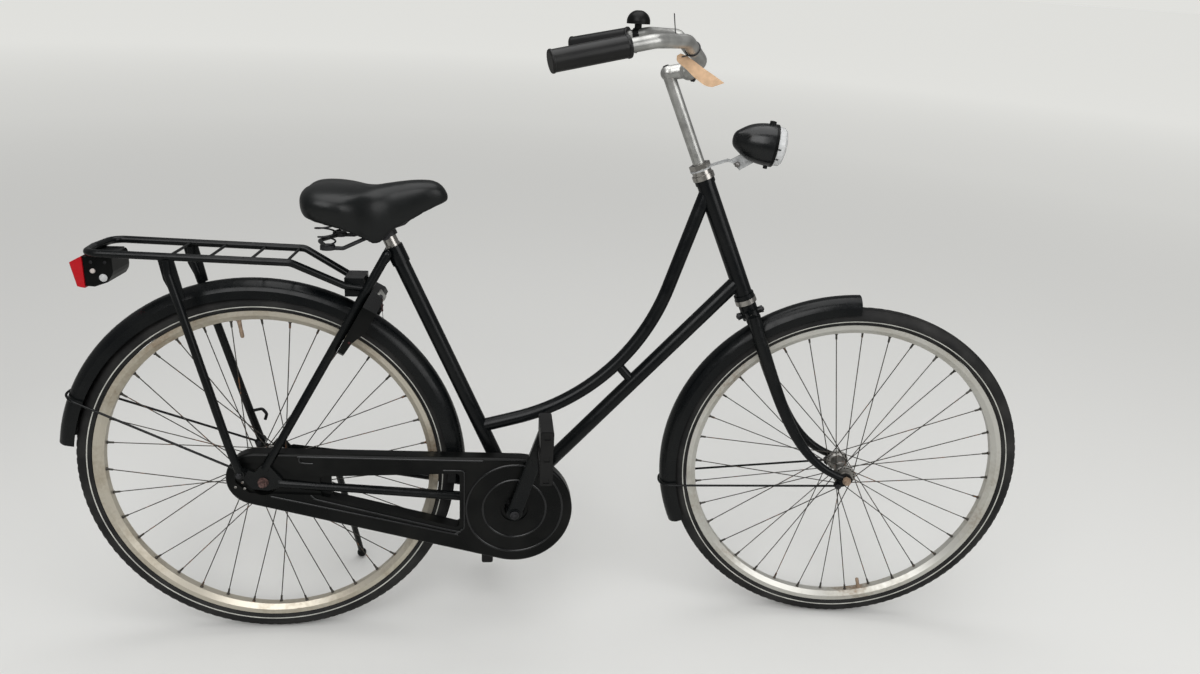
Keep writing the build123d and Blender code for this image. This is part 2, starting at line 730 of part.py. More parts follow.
def pedal(side):
    """Block pedal hanging on its pin: end plates, two ribbed rubber blocks and the barrel."""
    centre = pedal_centre(side)
    block = 36.0
    block_offset = (pedal_depth - block) / 2
    across = (1, 0, 0)
    with BuildPart() as piece:
        add(rod(centre + Vector(0, side * pedal_near_y, 0), centre + Vector(0, side * pedal_far_y, 0), 9.0))
        inner = centre + Vector(0, side * (pedal_near_y + 2), 0)
        with BuildSketch(Plane(inner, x_dir=across, z_dir=(0, side, 0))):
            with Locations((0, block_offset), (0, -block_offset)):
                RectangleRounded(pedal_thickness, block, 4)
        extrude(amount=pedal_length - 4)
        # grip grooves across both treads of each block
        for i in range(5):
            y = side * (pedal_near_y + 16 + i * 15)
            for x in (-pedal_thickness / 2, pedal_thickness / 2):
                groove = Plane(centre + Vector(x - 1.5, y - 1.5, -pedal_depth))
                add(Solid.make_box(3, 3, 2 * pedal_depth, groove), mode=Mode.SUBTRACT)
        for y in (pedal_near_y, pedal_far_y - 3):
            plate = centre + Vector(0, side * y, 0)
            with BuildSketch(Plane(plate, x_dir=across, z_dir=(0, side, 0))):
                RectangleRounded(pedal_thickness - 2, pedal_depth - 2, 4)
            extrude(amount=3)
        # square end recesses in the outer plate
        for z in (-block_offset - 8, 0, block_offset + 8):
            recess = centre + Vector(0, side * (pedal_far_y - 2), z)
            with BuildSketch(Plane(recess, x_dir=across, z_dir=(0, side, 0))):
                RectangleRounded(12, 10, 2)
            extrude(amount=6, mode=Mode.SUBTRACT)
        bore_end = centre + Vector(0, side * (pedal_far_y - 5), 0)
        add(rod(centre + Vector(0, side * (pedal_near_y - 5), 0), bore_end, 4.5 + running_fit), mode=Mode.SUBTRACT)
    return piece.part


# ---------------------------------------------------------------- fork and steering
front_lug = (wheelbase - 16, wheel_z - 12)
fork_bend_z = wheel_z + 150
with BuildPart() as fork:
    crown = head_axis(crown_z)
    add(rod(crown - head_dir * 10, head_bottom - head_dir * 10, crown_radius))
    add(rod(crown, head_top + head_dir * 22, 12.6))
    add(Solid.make_sphere(crown_radius, Plane(crown)))
    # bolt through the crown that holds the mudguard, with its head and nut
    crown_bolt = Vector(head_dir.Z, 0, -head_dir.X)
    bolt_at = crown + crown_bolt * 0.5
    add(rod(bolt_at - crown_bolt * 21, bolt_at + crown_bolt * 21, 6.5))
    for side in (-1, 1):
        y = side * front_dropout_y
        add(rod(crown, crown + Vector(2, side * 40, -3), 14.0, 12.5))
        bend = head_axis(fork_bend_z)
        add(
            tapered(
                [
                    crown + Vector(2, side * 38, 6),
                    head_axis(crown_z - 76) + Vector(0, side * 42, 0),
                    bend + Vector(0, side * 45, 0),
                    head_axis(wheel_z + 80) + Vector(9, side * 47, 0),
                    front_axle + Vector(-6, y, 3),
                ],
                (12.5, 12.5, 11.5, 9.5, 7.0),
            )
        )
        with BuildSketch(Plane.XZ.offset(-y - dropout_thickness / 2)):
            with Locations((wheelbase, wheel_z)):
                Circle(12)
            with Locations(front_lug):
                Circle(7)
            make_hull()
        extrude(amount=dropout_thickness)
    inner_face = front_dropout_y - dropout_thickness / 2
    for side in (-1, 1):
        outer = Vector(wheelbase, side * (front_dropout_y + dropout_thickness / 2), wheel_z)
        add(rod(outer, outer + Vector(0, side * 20, 0), 11.0), mode=Mode.SUBTRACT)
    add(rod((wheelbase, -inner_face, wheel_z), (wheelbase, inner_face, wheel_z), 16.0), mode=Mode.SUBTRACT)
    add(rod((wheelbase, -70, wheel_z), (wheelbase, 70, wheel_z), axle_radius + running_fit), mode=Mode.SUBTRACT)

with BuildPart() as headset_lower:
    add(rod(head_bottom - head_dir * 10 + head_dir * 0.1, head_bottom, 20.5))
    add(rod(head_bottom - head_dir * 20, head_bottom + head_dir * 2, 12.6 + running_fit), mode=Mode.SUBTRACT)

with BuildPart() as headset_upper:
    add(rod(head_top, head_top + head_dir * 9, 20.5))
    add(rod(head_top + head_dir * 9, head_top + head_dir * 17, 18.0))
    add(rod(head_top - head_dir * 2, head_top + head_dir * 30, 12.6 + running_fit), mode=Mode.SUBTRACT)

locknut_foot = head_top + head_dir * 20.0
with BuildPart() as locknut:
    with BuildSketch(Plane(locknut_foot, z_dir=head_dir)):
        RegularPolygon(17, 6, major_radius=False)
    extrude(amount=9)
    add(rod(head_top - head_dir * 2, head_top + head_dir * 40, 12.6 + 0.02), mode=Mode.SUBTRACT)

stem_top = head_top + head_dir * stem_length
clamp = stem_top + Vector(34.5, 0, 7)
with BuildPart() as stem:
    add(rod(head_top + head_dir * 22.2, stem_top, bar_radius))
    add(Solid.make_sphere(13.5, Plane(stem_top)))
    add(rod(stem_top, clamp, 12.5, 13.5))
    add(rod(clamp - Vector(0, 20, 0), clamp + Vector(0, 20, 0), 16.0))
    add(rod(clamp - Vector(0, 30, 0), clamp + Vector(0, 30, 0), bar_radius + 0.05), mode=Mode.SUBTRACT)

bar_points = [
    clamp,
    clamp + Vector(0, -48, 0),
    clamp + Vector(14, -92, 21),
    clamp + Vector(-14, -150, 53),
    clamp + Vector(-66, -205, 53),
    clamp + Vector(-218, -262, 19),
]
with BuildPart() as handlebar:
    add(tube(bar_points, bar_radius, 28))
    add(mirrored(tube(bar_points, bar_radius, 28)))

bar_elbow, bar_end = bar_points[-2:]
grip_along = (bar_end - bar_elbow).normalized()
grip_rear = bar_end + grip_along * 4
grip_front = bar_end - grip_along * 122


def grip():
    """Right rubber grip: a plain sleeve over the bar with a rounded closed end."""
    with BuildPart() as piece:
        add(rod(grip_front, grip_rear, 17.0))
        fillet(piece.edges().filter_by(GeomType.CIRCLE).sort_by(Axis.X)[0], 3.0)
        add(rod(grip_front - grip_along * 5, bar_end + grip_along * 0.1, bar_radius + 0.1), mode=Mode.SUBTRACT)
    return piece.part


# the bell sits on the left bar, just ahead of the grip
bell_seat = Vector(bar_end.X, -bar_end.Y, bar_end.Z) - Vector(grip_along.X, -grip_along.Y, grip_along.Z) * 140
bell_along = Vector(grip_along.X, -grip_along.Y, grip_along.Z)
bell_base = bell_seat + Vector(0, -4, 20)
bell_radius = 23.0
with BuildPart() as bell:
    add(rod(bell_seat - bell_along * 6, bell_seat + bell_along * 6, bar_radius + 2.5))
    add(rod(bell_seat, bell_base, 7.0))
    with BuildSketch(Plane(bell_base, x_dir=(1, 0, 0), z_dir=(0, -1, 0))):
        with BuildLine():
            Line((0, 0), (bell_radius, 0))
            Line((bell_radius, 0), (bell_radius, 6))
            ThreePointArc((bell_radius, 6), (bell_radius * 0.72, 19), (4, 25))
            Line((4, 25), (0, 25))
            Line((0, 25), (0, 0))
        make_face()
    revolve(axis=Axis(bell_base, (0, 0, 1)))
    # thumb lever under the bar
    add(rod(bell_seat - Vector(0, 0, 8), bell_seat + Vector(-3, -6, -34), 4.5, 3.5))
    add(rod(bell_seat - bell_along * 30, bell_seat + bell_along * 30, bar_radius + 0.1), mode=Mode.SUBTRACT)

# ---------------------------------------------------------------- lamps
lamp_axis = Vector(cos(radians(7)), 0, -sin(radians(7)))
lamp_up = Vector(sin(radians(7)), 0, cos(radians(7)))
lamp_front = head_top + Vector(120.3, 0, 65.8)
lamp_radius = 37.5
lamp_plane = Plane(lamp_front, x_dir=lamp_axis, z_dir=(0, -1, 0))
with BuildPart() as headlamp:
    with BuildSketch(lamp_plane):
        with BuildLine():
            Line((0, 0), (0, lamp_radius))
            Line((0, lamp_radius), (-8, lamp_radius))
            Spline((-8, lamp_radius), (-28, 35.8), (-50, 29), (-67, 18), (-76, 0), tangents=((-1, 0), (0, -1)))
            Line((-76, 0), (0, 0))
        make_face()
    revolve(axis=Axis(lamp_front, lamp_axis))
    # beam screw on top and the clip screw under the rim
    top_screw = lamp_front - lamp_axis * 11 + lamp_up * (lamp_radius - 3)
    add(rod(top_screw, top_screw + lamp_up * 7, 6.0))
    low_screw = lamp_front - lamp_axis * 7 - lamp_up * (lamp_radius - 3)
    add(rod(low_screw, low_screw - lamp_up * 8, 4.0))

with BuildPart() as headlamp_lens:
    with BuildSketch(lamp_plane):
        with BuildLine():
            Line((0.2, 0), (0.2, lamp_radius - 2))
            Line((0.2, lamp_radius - 2), (13, lamp_radius - 3.5))
            ThreePointArc((13, lamp_radius - 3.5), (19.5, 20), (22, 4))
            Line((22, 4), (22, 0))
            Line((22, 0), (0.2, 0))
        make_face()
    revolve(axis=Axis(lamp_front, lamp_axis))

bracket_foot = head_top + head_dir * 17.2
bracket_bolt = lamp_front + Vector(-64, 0, -35)
with BuildPart() as lamp_bracket:
    add(rod(bracket_foot, bracket_foot + head_dir * 2.6, 20.0))
    with BuildSketch(Plane.XZ.offset(-8)):
        with BuildLine():
            Polyline(
                (bracket_foot.X + 14, bracket_foot.Z + 6.3),
                (bracket_foot.X + 20, bracket_foot.Z + 9.0),
                (bracket_bolt.X - 16, bracket_bolt.Z + 3.5),
                (bracket_bolt.X, bracket_bolt.Z - 1.5),
                (bracket_bolt.X, bracket_bolt.Z + 1.5),
                (bracket_bolt.X - 16, bracket_bolt.Z + 7),
                (bracket_foot.X + 18, bracket_foot.Z + 10.9),
                (bracket_foot.X + 14, bracket_foot.Z + 8.8),
                close=True,
            )
        make_face()
    extrude(amount=16)
    # upright tab under the lamp with the tilt bolt through it
    tab_outline = [(-12, 6), (10, 19), (37, 11), (31, 4), (6, -12)]
    with BuildSketch(Plane.XZ.offset(-2)):
        with BuildLine():
            Polyline(*[(bracket_bolt.X + x, bracket_bolt.Z + z) for x, z in tab_outline], close=True)
        make_face()
    extrude(amount=4)
    add(rod(bracket_bolt - Vector(0, 9, 0), bracket_bolt + Vector(0, 9, 0), 5.0))
    add(headlamp.part, mode=Mode.SUBTRACT)
    add(rod(head_top, head_top + head_dir * 30, 12.7), mode=Mode.SUBTRACT)

rear_lamp_half = 42.0
rack_z = guard_centre.Z + mudguard_outer_radius + rack_height
tail_plate_z = rack_z - 1.9
with BuildPart() as rear_lamp:
    with BuildSketch(Plane.XZ):
        with BuildLine():
            Polyline(
                (-276.8, tail_plate_z - 0.1),
                (-276.8, tail_plate_z - 52.1),
                (-262, tail_plate_z - 53.1),
                (-240, tail_plate_z - 45.1),
                (-231, tail_plate_z - 31.1),
                (-231, tail_plate_z - 0.1),
                close=True,
            )
        make_face()
    extrude(amount=rear_lamp_half - 3, both=True)
    chamfer(rear_lamp.faces().sort_by(Axis.X)[-1].edges(), 4)

with BuildPart() as rear_lamp_lens:
    with BuildSketch(Plane.XZ):
        with BuildLine():
            Polyline(
                (-277, tail_plate_z + 0.9),
                (-299, tail_plate_z - 11.1),
                (-291, tail_plate_z - 52.1),
                (-277, tail_plate_z - 55.1),
                close=True,
            )
        make_face()
    extrude(amount=rear_lamp_half, both=True)
    fillet(rear_lamp_lens.faces().sort_by(Axis.X)[0].edges(), 4)

# ---------------------------------------------------------------- rack
rack_front = stay_bridge + stay_up * 31.9 + stay_out * -4.8
with BuildPart() as rack:
    route = [
        Vector(rack_front.X, -24, rack_front.Z),
        Vector(rack_front.X - 32, -38, rack_front.Z + 8),
        Vector(72, -rack_half_width, rack_z),
        Vector(-262, -rack_half_width, rack_z + 9),
        Vector(-272, 0, rack_z + 7),
    ]
    near_rail = tube(route, rack_tube_radius, 24)
    add(near_rail)
    add(mirrored(near_rail))
    for x in (-129, -66, 3, 64):
        z = rack_z + (72 - x) * 9 / 334
        add(rod((x, -rack_half_width, z), (x, rack_half_width, z), 2.5))
    add(Solid.make_box(34, 60, 34, Plane((rack_front.X - 34, -30, rack_front.Z - 14))))
    # tail plate that carries the rear lamp
    add(Solid.make_box(39, 64, 3.5, Plane((-274, -32, tail_plate_z))))
    add(seatstay_right.part, mode=Mode.SUBTRACT)
    add(mirrored(seatstay_right.part), mode=Mode.SUBTRACT)

with BuildPart() as rack_leg_right:
    leg_eye = Vector(-36, -76, wheel_z + 24)
    leg_route = [
        Vector(-132, -62, rack_z - 1),
        Vector(-131, -63, rack_z - 24),
        Vector(-52, -76, wheel_z + 80),
        leg_eye,
    ]
    add(tube(leg_route, rack_leg_radius, 20))
    add(rod(leg_eye + Vector(0, 7.6, 0), leg_eye - Vector(0, 6, 0), 9.0))
    # flattened lug that is welded under the rail
    with BuildSketch(Plane.XZ.offset(60.5)):
        with BuildLine():
            Polyline(
                (-145, rack_z + 2),
                (-120, rack_z + 2),
                (-113, rack_z - 34),
                (-107, rack_z - 66),
                (-122, rack_z - 72),
                (-139, rack_z - 34),
                close=True,
            )
        make_face()
    extrude(amount=4.5)
    add(rack.part, mode=Mode.SUBTRACT)

with BuildPart() as rack_leg_left:
    add(mirrored(rack_leg_right.part))
    # open hook for the luggage straps
    hook = Vector(-52, 76, wheel_z + 86)
    add(tube([hook, hook + Vector(22, 0, 5), hook + Vector(30, 0, -6), hook + Vector(26, 0, -18)], 3.0, 6))

# ---------------------------------------------------------------- mudguard stays
stay_wire_radius = 2.2
rear_stay_foot = Vector(-36, -65.9, wheel_z + 24)
front_stay_foot = Vector(front_lug[0], -54.3, front_lug[1])


def guard_stay(foot, crown):
    """A bent wire from one dropout over the guard's crown to the other dropout."""
    corner = Vector(crown.X, -29.5, crown.Z)
    far_corner = Vector(crown.X, 29.5, crown.Z)
    far_foot = Vector(foot.X, -foot.Y, foot.Z)
    with BuildPart() as piece:
        add(tube([foot, corner, far_corner, far_foot], stay_wire_radius, 28))
        for side in (-1, 1):
            pad = Vector(foot.X, side * (abs(foot.Y) - stay_wire_radius - 0.6), foot.Z)
            add(rod(pad, pad + Vector(0, side * (2 * stay_wire_radius + 0.6), 0), 6.5))
    return piece.part


def over_guard(centre, angle):
    """Point just outside a mudguard's crown, where a wire lies on it."""
    reach = mudguard_outer_radius + stay_wire_radius + wire_on_guard
    return centre + Vector(reach * cos(radians(angle)), 0, reach * sin(radians(angle)))


rear_guard_stays = guard_stay(rear_stay_foot, over_guard(guard_centre, 156))
front_guard_stays = guard_stay(front_stay_foot, over_guard(front_axle, 187.6))

# ---------------------------------------------------------------- ring lock
# The lock stands square to the seat stays: "out" points forward and down, "up" along the stays.
lock_out = stay_out
lock_up = stay_up
lock_origin = stay_bridge - stay_up * 9
lock_near = 8.5
lock_far = 35.0
with BuildPart() as ring_lock:
    with BuildSketch(Plane(origin=lock_origin + lock_out * lock_near, x_dir=(0, 1, 0), z_dir=lock_out)):
        with BuildLine():
            Polyline((-60, -76), (-60, 20), (-34, 46), (34, 46), (60, 20), (60, -76), (46, -84), (36, -84),
                     (36, 2), (20, 9), (-20, 9), (-36, 2), (-36, -84), (-46, -84), close=True)
        make_face()
    extrude(amount=lock_far - lock_near)
    # its housing is deep over the ring's crown and thins towards the two horns
    with BuildSketch(Plane(origin=lock_origin, x_dir=lock_out, z_dir=(0, -1, 0))):
        with BuildLine():
            Polyline(
                (lock_near, -84),
                (lock_near + 12, -84),
                (lock_near + 15, -50),
                (lock_far, -20),
                (lock_far, 38),
                (lock_far - 8, 46),
                (lock_near, 46),
                close=True,
            )
        make_face()
    extrude(amount=70, both=True, mode=Mode.INTERSECT)
    # key cylinder on the right of the crown, sliding lever in front of the left horn
    key_seat = lock_origin + lock_out * (lock_far - 4) + Vector(0, -30, 0) + lock_up * 24
    add(rod(key_seat, key_seat + lock_out * 8, 9.0))
    lever = lock_origin + lock_out * (lock_far - 6) + Vector(0, 46, 0) - lock_up * 8
    add(rod(lever, lever + lock_out * 14, 6.0, 5.0))

# ---------------------------------------------------------------- side stand
stand_pivot = Vector(104, 79, wheel_z - 24)
stand_pin_dir = Vector(0, 0.913, 0.408)
with BuildPart() as stand_mount:
    with BuildSketch(Plane.XZ.offset(-62.5)):
        with Locations((stand_pivot.X, stand_pivot.Z + 8)):
            RectangleRounded(46, 40, 6)
    extrude(amount=-6)
    add(rod(stand_pivot - stand_pin_dir * 16, stand_pivot + stand_pin_dir * 8, 4.5))
    add(mirrored(chainstay_right.part), mode=Mode.SUBTRACT)

stand_foot = Vector(128, 214, 32.4)
with BuildPart() as side_stand:
    add(rod(stand_pivot - stand_pin_dir * 4.5, stand_pivot + stand_pin_dir * 6, 11.0))
    add(rod(stand_pivot, stand_foot, 7.0, 6.0))
    add(Solid.make_sphere(10.0, Plane(stand_foot)))
    add(rod(stand_pivot - stand_pin_dir * 20, stand_pivot + stand_pin_dir * 20, 4.5 + running_fit), mode=Mode.SUBTRACT)

# ---------------------------------------------------------------- export
save(head_tube.part, "head_tube")
save(seat_tube.part, "seat_tube")
save(down_tube.part, "down_tube")
save(loop_tube.part, "loop_tube")
save(chainstay_right.part, "chainstay_right")
save(chainstay_left.part, "chainstay_left")
save(seatstay_right.part, "seatstay_right")
save(mirrored(seatstay_right.part), "seatstay_left")
save(seat_post.part, "seat_post")
save(saddle.part, "saddle")
save(saddle_frame.part, "saddle_frame")
left_spring = saddle_spring()
save(Compound([left_spring.solid(), mirrored(left_spring).solid()]), "saddle_springs")
save(chaincase.part, "chaincase")
save(axle(rear_axle, rear_dropout_y), "rear_axle")
save(tyre(rear_axle), "rear_tyre")
save(rim(rear_axle), "rear_rim")
save(spoked_hub(rear_axle, 28.0, 36.0, 24.0, 50.0), "rear_hub")
save(crankset.part, "crankset")
save(pedal(-1), "pedal_right")
save(pedal(1), "pedal_left")
save(rack.part, "rack")
save(rack_leg_right.part, "rack_leg_right")
save(rear_lamp.part, "rear_lamp")
save(rear_lamp_lens.part, "rear_lamp_lens")
save(mudguard(guard_centre, rear_guard_start, rear_guard_end), "rear_mudguard")
save(headset_lower.part, "headset_lower")
save(headset_upper.part, "headset_upper")
save(seatstay_bridge.part, "seatstay_bridge")
save(chainstay_bridge.part, "chainstay_bridge")
save(stand_mount.part, "stand_mount")
save(bb_cups.part, "bb_cups")
save(chaincase_cover.part, "chaincase_cover")
save(rack_leg_left.part, "rack_leg_left")
save(rear_guard_stays, "rear_guard_stays")
save(ring_lock.part, "ring_lock")
save(front_guard_stays, "front_guard_stays", parked_steering)
save(side_stand.part, "side_stand")
save(fork.part, "fork", parked_steering)
save(locknut.part, "locknut", parked_steering)
save(stem.part, "stem", parked_steering)
save(handlebar.part, "handlebar", parked_steering)
save(grip(), "grip_right", parked_steering)
save(mirrored(grip()), "grip_left", parked_steering)
save(bell.part, "bell", parked_steering)
save(headlamp.part, "headlamp", parked_steering)
save(headlamp_lens.part, "headlamp_lens", parked_steering)
save(lamp_bracket.part, "lamp_bracket", parked_steering)
save(mudguard(front_axle, front_guard_start, front_guard_end), "front_mudguard", parked_steering)
save(axle(front_axle, front_dropout_y), "front_axle", parked_steering)
save(tyre(front_axle), "front_tyre", parked_steering)
save(rim(front_axle), "front_rim", parked_steering)
save(spoked_hub(front_axle, 14.0, 22.0, 33.0, 44.0), "front_hub", parked_steering)
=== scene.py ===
# %% [markdown]
# # A city bicycle, dressed for a portrait
# The solid model gives every tube, plate and wheel its place.  This lesson loads it as a
# fixed frame, and then adds what only a picture needs: paint with dust in it, rusty rims,
# a padded saddle, coil springs, tyre tread, nuts and a paper tag.

# %% Load the frame
import math

import bmesh
import bpy
from mathutils import Matrix, Vector


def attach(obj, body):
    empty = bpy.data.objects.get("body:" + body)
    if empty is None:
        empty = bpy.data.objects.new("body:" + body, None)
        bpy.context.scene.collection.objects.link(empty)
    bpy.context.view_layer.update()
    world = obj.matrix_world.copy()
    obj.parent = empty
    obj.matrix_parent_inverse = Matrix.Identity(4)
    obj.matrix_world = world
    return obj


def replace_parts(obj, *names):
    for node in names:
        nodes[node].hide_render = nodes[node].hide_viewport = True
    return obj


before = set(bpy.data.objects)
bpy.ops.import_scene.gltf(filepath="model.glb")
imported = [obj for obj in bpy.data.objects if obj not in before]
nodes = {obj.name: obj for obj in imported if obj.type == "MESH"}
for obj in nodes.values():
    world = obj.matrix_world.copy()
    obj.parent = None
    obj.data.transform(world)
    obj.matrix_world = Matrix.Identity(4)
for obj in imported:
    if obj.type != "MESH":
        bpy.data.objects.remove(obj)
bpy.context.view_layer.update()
print("solid pieces loaded:", len(nodes))

# %% [markdown]
# ## Two places to build in
# A leaning bicycle with a turned wheel is awkward to draw on.  Each new piece is drawn on
# the straight, upright bicycle, in metres: +X forward, +Y to the rider's left, +Z up, with
# the origin on the floor under the rear axle.  Two matrices then carry it to where the
# solid pieces stand: one leans it, the other also turns it with the steering.

# %% Parked placement
WHEEL_RADIUS = 0.350
TYRE_HALF_WIDTH = 0.019
WHEELBASE = 1.137
HEAD_ANGLE = math.radians(66.2)
FORK_RAKE = 0.0727
NOSE_DIP_DEGREES = -0.039
LEAN_DEGREES = -6.0
STEERING_DEGREES = -8.4
GRIP_END = Vector((0.538, -0.262, 1.138))
HEAD_FOOT_X = WHEELBASE - FORK_RAKE / math.sin(HEAD_ANGLE)
head_direction = Vector((-math.cos(HEAD_ANGLE), 0, math.sin(HEAD_ANGLE)))


def head_axis(z):
    """Point of the steering axis at height z."""
    return Vector((HEAD_FOOT_X - (z - WHEEL_RADIUS) / math.tan(HEAD_ANGLE), 0, z))


def turn_about(point, axis, degrees):
    """Matrix that turns things about a line through a point."""
    there = Matrix.Translation(Vector(point))
    return there @ Matrix.Rotation(math.radians(degrees), 4, Vector(axis)) @ there.inverted()


nose_dip = turn_about((0, 0, WHEEL_RADIUS), (0, 1, 0), NOSE_DIP_DEGREES)
lean = turn_about((0, 0, TYRE_HALF_WIDTH), (1, 0, 0), LEAN_DEGREES)
PARKED = lean @ nose_dip
STEERED = PARKED @ turn_about(head_axis(0.706), head_direction, STEERING_DEGREES)
print("grip end lies at", (STEERED @ GRIP_END).to_tuple(3))

# %% [markdown]
# ## Finishes
# Each finish is a small network of procedural nodes.  A noise that drives colour and
# roughness together looks like dirt; the same noise in a bump node looks like a surface
# that has been touched.  The helper below lays down the shader and one noise, and each
# finish then adds what is its own.


# %% Finish helper
def new_finish(name, colour, roughness, metallic=0.0):
    """A material with its shader set up; returns the material, nodes, links and shader."""
    material = bpy.data.materials.new(name)
    material.use_nodes = True
    tree = material.node_tree
    shader = tree.nodes["Principled BSDF"]
    shader.inputs["Base Color"].default_value = (*colour, 1)
    shader.inputs["Roughness"].default_value = roughness
    shader.inputs["Metallic"].default_value = metallic
    print("finish:", name)
    return material, tree.nodes, tree.links, shader


def object_noise(nodes_, links, scale, detail=4.0, stretch=(1, 1, 1)):
    """Noise that follows the object's own coordinates."""
    place = nodes_.new("ShaderNodeTexCoord")
    mapping = nodes_.new("ShaderNodeMapping")
    mapping.inputs["Scale"].default_value = stretch
    grain = nodes_.new("ShaderNodeTexNoise")
    grain.inputs["Scale"].default_value = scale
    grain.inputs["Detail"].default_value = detail
    links.new(place.outputs["Object"], mapping.inputs["Vector"])
    links.new(mapping.outputs["Vector"], grain.inputs["Vector"])
    return grain.outputs["Fac"]


def ramp(nodes_, links, value, stops):
    """Colour ramp through (position, colour) stops."""
    band = nodes_.new("ShaderNodeValToRGB")
    band.color_ramp.elements[0].position = stops[0][0]
    band.color_ramp.elements[0].color = (*stops[0][1], 1)
    band.color_ramp.elements[1].position = stops[-1][0]
    band.color_ramp.elements[1].color = (*stops[-1][1], 1)
    for position, colour in stops[1:-1]:
        band.color_ramp.elements.new(position).color = (*colour, 1)
    links.new(value, band.inputs["Fac"])
    return band.outputs["Color"]


def grey(value):
    """The same amount of red, green and blue."""
    return (value, value, value)


def add_bump(nodes_, links, shader, height, strength, distance):
    """Feed a height into the shader's normal."""
    bump = nodes_.new("ShaderNodeBump")
    bump.inputs["Strength"].default_value = strength
    bump.inputs["Distance"].default_value = distance
    links.new(height, bump.inputs["Height"])
    links.new(bump.outputs["Normal"], shader.inputs["Normal"])


# %% [markdown]
# ## Black enamel
# The frame is black enamel.  A plain black shader looks like a hole in the air, so one noise
# lifts the colour where dust lies and a finer one dulls the shine in scuffs.  The headlamp's
# shell is the same enamel with more shine.

# %% Black frame paint
def black_enamel(name, shine):
    """Gloss black with a blue cast, thin dust and small dull scuffs."""
    material, n, links, shader = new_finish(name, (0.008, 0.0085, 0.0105), 0.3)
    dust = object_noise(n, links, 9.0, 8.0)
    links.new(
        ramp(n, links, dust, [(0.35, (0.0022, 0.0030, 0.0036)), (0.75, (0.0075, 0.0082, 0.0080))]),
        shader.inputs["Base Color"],
    )
    scuff = object_noise(n, links, 60.0, 6.0)
    links.new(ramp(n, links, scuff, [(0.4, grey(0.2)), (0.7, grey(0.34))]), shader.inputs["Roughness"])
    add_bump(n, links, shader, object_noise(n, links, 420.0, 2.0), 0.06, 0.0004)
    shader.inputs["Specular IOR Level"].default_value = shine
    return material


PAINT = black_enamel("frame_paint", 0.27)
LAMP_ENAMEL = black_enamel("lamp_enamel", 0.5)


# %% [markdown]
# ## Chaincase plastic
# Moulded plastic has no clear coat, so it reflects less than enamel and its grain shows.  The
# same dust noise drives colour and roughness here, because dust on plastic is also dull.

# %% Moulded black plastic
def case_plastic():
    """The chaincase's moulded skin: duller than paint, with a fine grain and dust."""
    material, n, links, shader = new_finish("case_plastic", (0.018, 0.019, 0.021), 0.42)
    dust = object_noise(n, links, 14.0, 9.0)
    links.new(
        ramp(n, links, dust, [(0.4, (0.0015, 0.0019, 0.0019)), (0.8, (0.0075, 0.0077, 0.0070))]),
        shader.inputs["Base Color"],
    )
    links.new(ramp(n, links, dust, [(0.35, grey(0.24)), (0.75, grey(0.42))]), shader.inputs["Roughness"])
    add_bump(n, links, shader, object_noise(n, links, 900.0, 2.0), 0.06, 0.0003)
    shader.inputs["Specular IOR Level"].default_value = 0.2
    return material


CASE = case_plastic()


# %% [markdown]
# ## Plated metals
# Plating fails in freckles that crowd together.  They could be painted on an unwrapped
# surface; a fine noise times a coarse one gathers them in patches on any shape instead.
# Where rust comes through, the surface also stops being metallic and turns rough.

# %% Plated metals
def plated(name, colour, rust_start, roughness=0.24):
    """Plating with brown rust freckles; a higher rust_start leaves fewer of them."""
    material, n, links, shader = new_finish(name, colour, roughness, 1.0)
    freckle = object_noise(n, links, 170.0, 8.0)
    patch = object_noise(n, links, 22.0, 3.0)
    both = n.new("ShaderNodeMath")
    both.operation = "MULTIPLY"
    links.new(freckle, both.inputs[0])
    links.new(patch, both.inputs[1])
    rust = (0.16, 0.075, 0.035)
    links.new(
        ramp(n, links, both.outputs[0], [(rust_start, colour), (rust_start + 0.06, rust)]),
        shader.inputs["Base Color"],
    )
    links.new(
        ramp(n, links, both.outputs[0], [(rust_start, grey(roughness)), (rust_start + 0.08, grey(0.75))]),
        shader.inputs["Roughness"],
    )
    links.new(
        ramp(n, links, both.outputs[0], [(rust_start, grey(1.0)), (rust_start + 0.05, grey(0.15))]),
        shader.inputs["Metallic"],
    )
    add_bump(n, links, shader, freckle, 0.08, 0.0004)
    return material


CHROME = plated("worn_chrome", (0.50, 0.48, 0.45), 0.38, 0.24)
DULL_STEEL = plated("dull_steel", (0.30, 0.29, 0.28), 0.31, 0.42)
SPOKE_STEEL = plated("spoke_steel", (0.10, 0.095, 0.085), 0.31, 0.45)
HUB_STEEL = plated("hub_steel", (0.36, 0.35, 0.33), 0.33, 0.4)


# %% [markdown]
# ## Rims
# The rims are plated steel under a film of grime, and the rear one has yellowed more.  They
# share one function, which takes the plate's and the film's colours, so stains follow one rule.

# %% Rim with rust stains
def rim_metal(name, plate, film):
    """Steel rim: pale plating under a thin film of grime, with patches of brown rust."""
    material, n, links, shader = new_finish(name, plate, 0.38, 0.6)
    stain = object_noise(n, links, 7.0, 7.0)
    fine = object_noise(n, links, 140.0, 8.0)
    mix = n.new("ShaderNodeMath")
    mix.operation = "ADD"
    half = n.new("ShaderNodeMath")
    half.operation = "MULTIPLY"
    half.inputs[1].default_value = 0.3
    links.new(fine, half.inputs[0])
    links.new(stain, mix.inputs[0])
    links.new(half.outputs[0], mix.inputs[1])
    rust = (0.31, 0.22, 0.145)
    links.new(
        ramp(n, links, mix.outputs[0], [(0.58, plate), (0.73, film), (0.88, rust)]),
        shader.inputs["Base Color"],
    )
    links.new(
        ramp(n, links, mix.outputs[0], [(0.6, grey(0.3)), (1.0, grey(0.7))]),
        shader.inputs["Roughness"],
    )
    add_bump(n, links, shader, fine, 0.1, 0.0004)
    return material


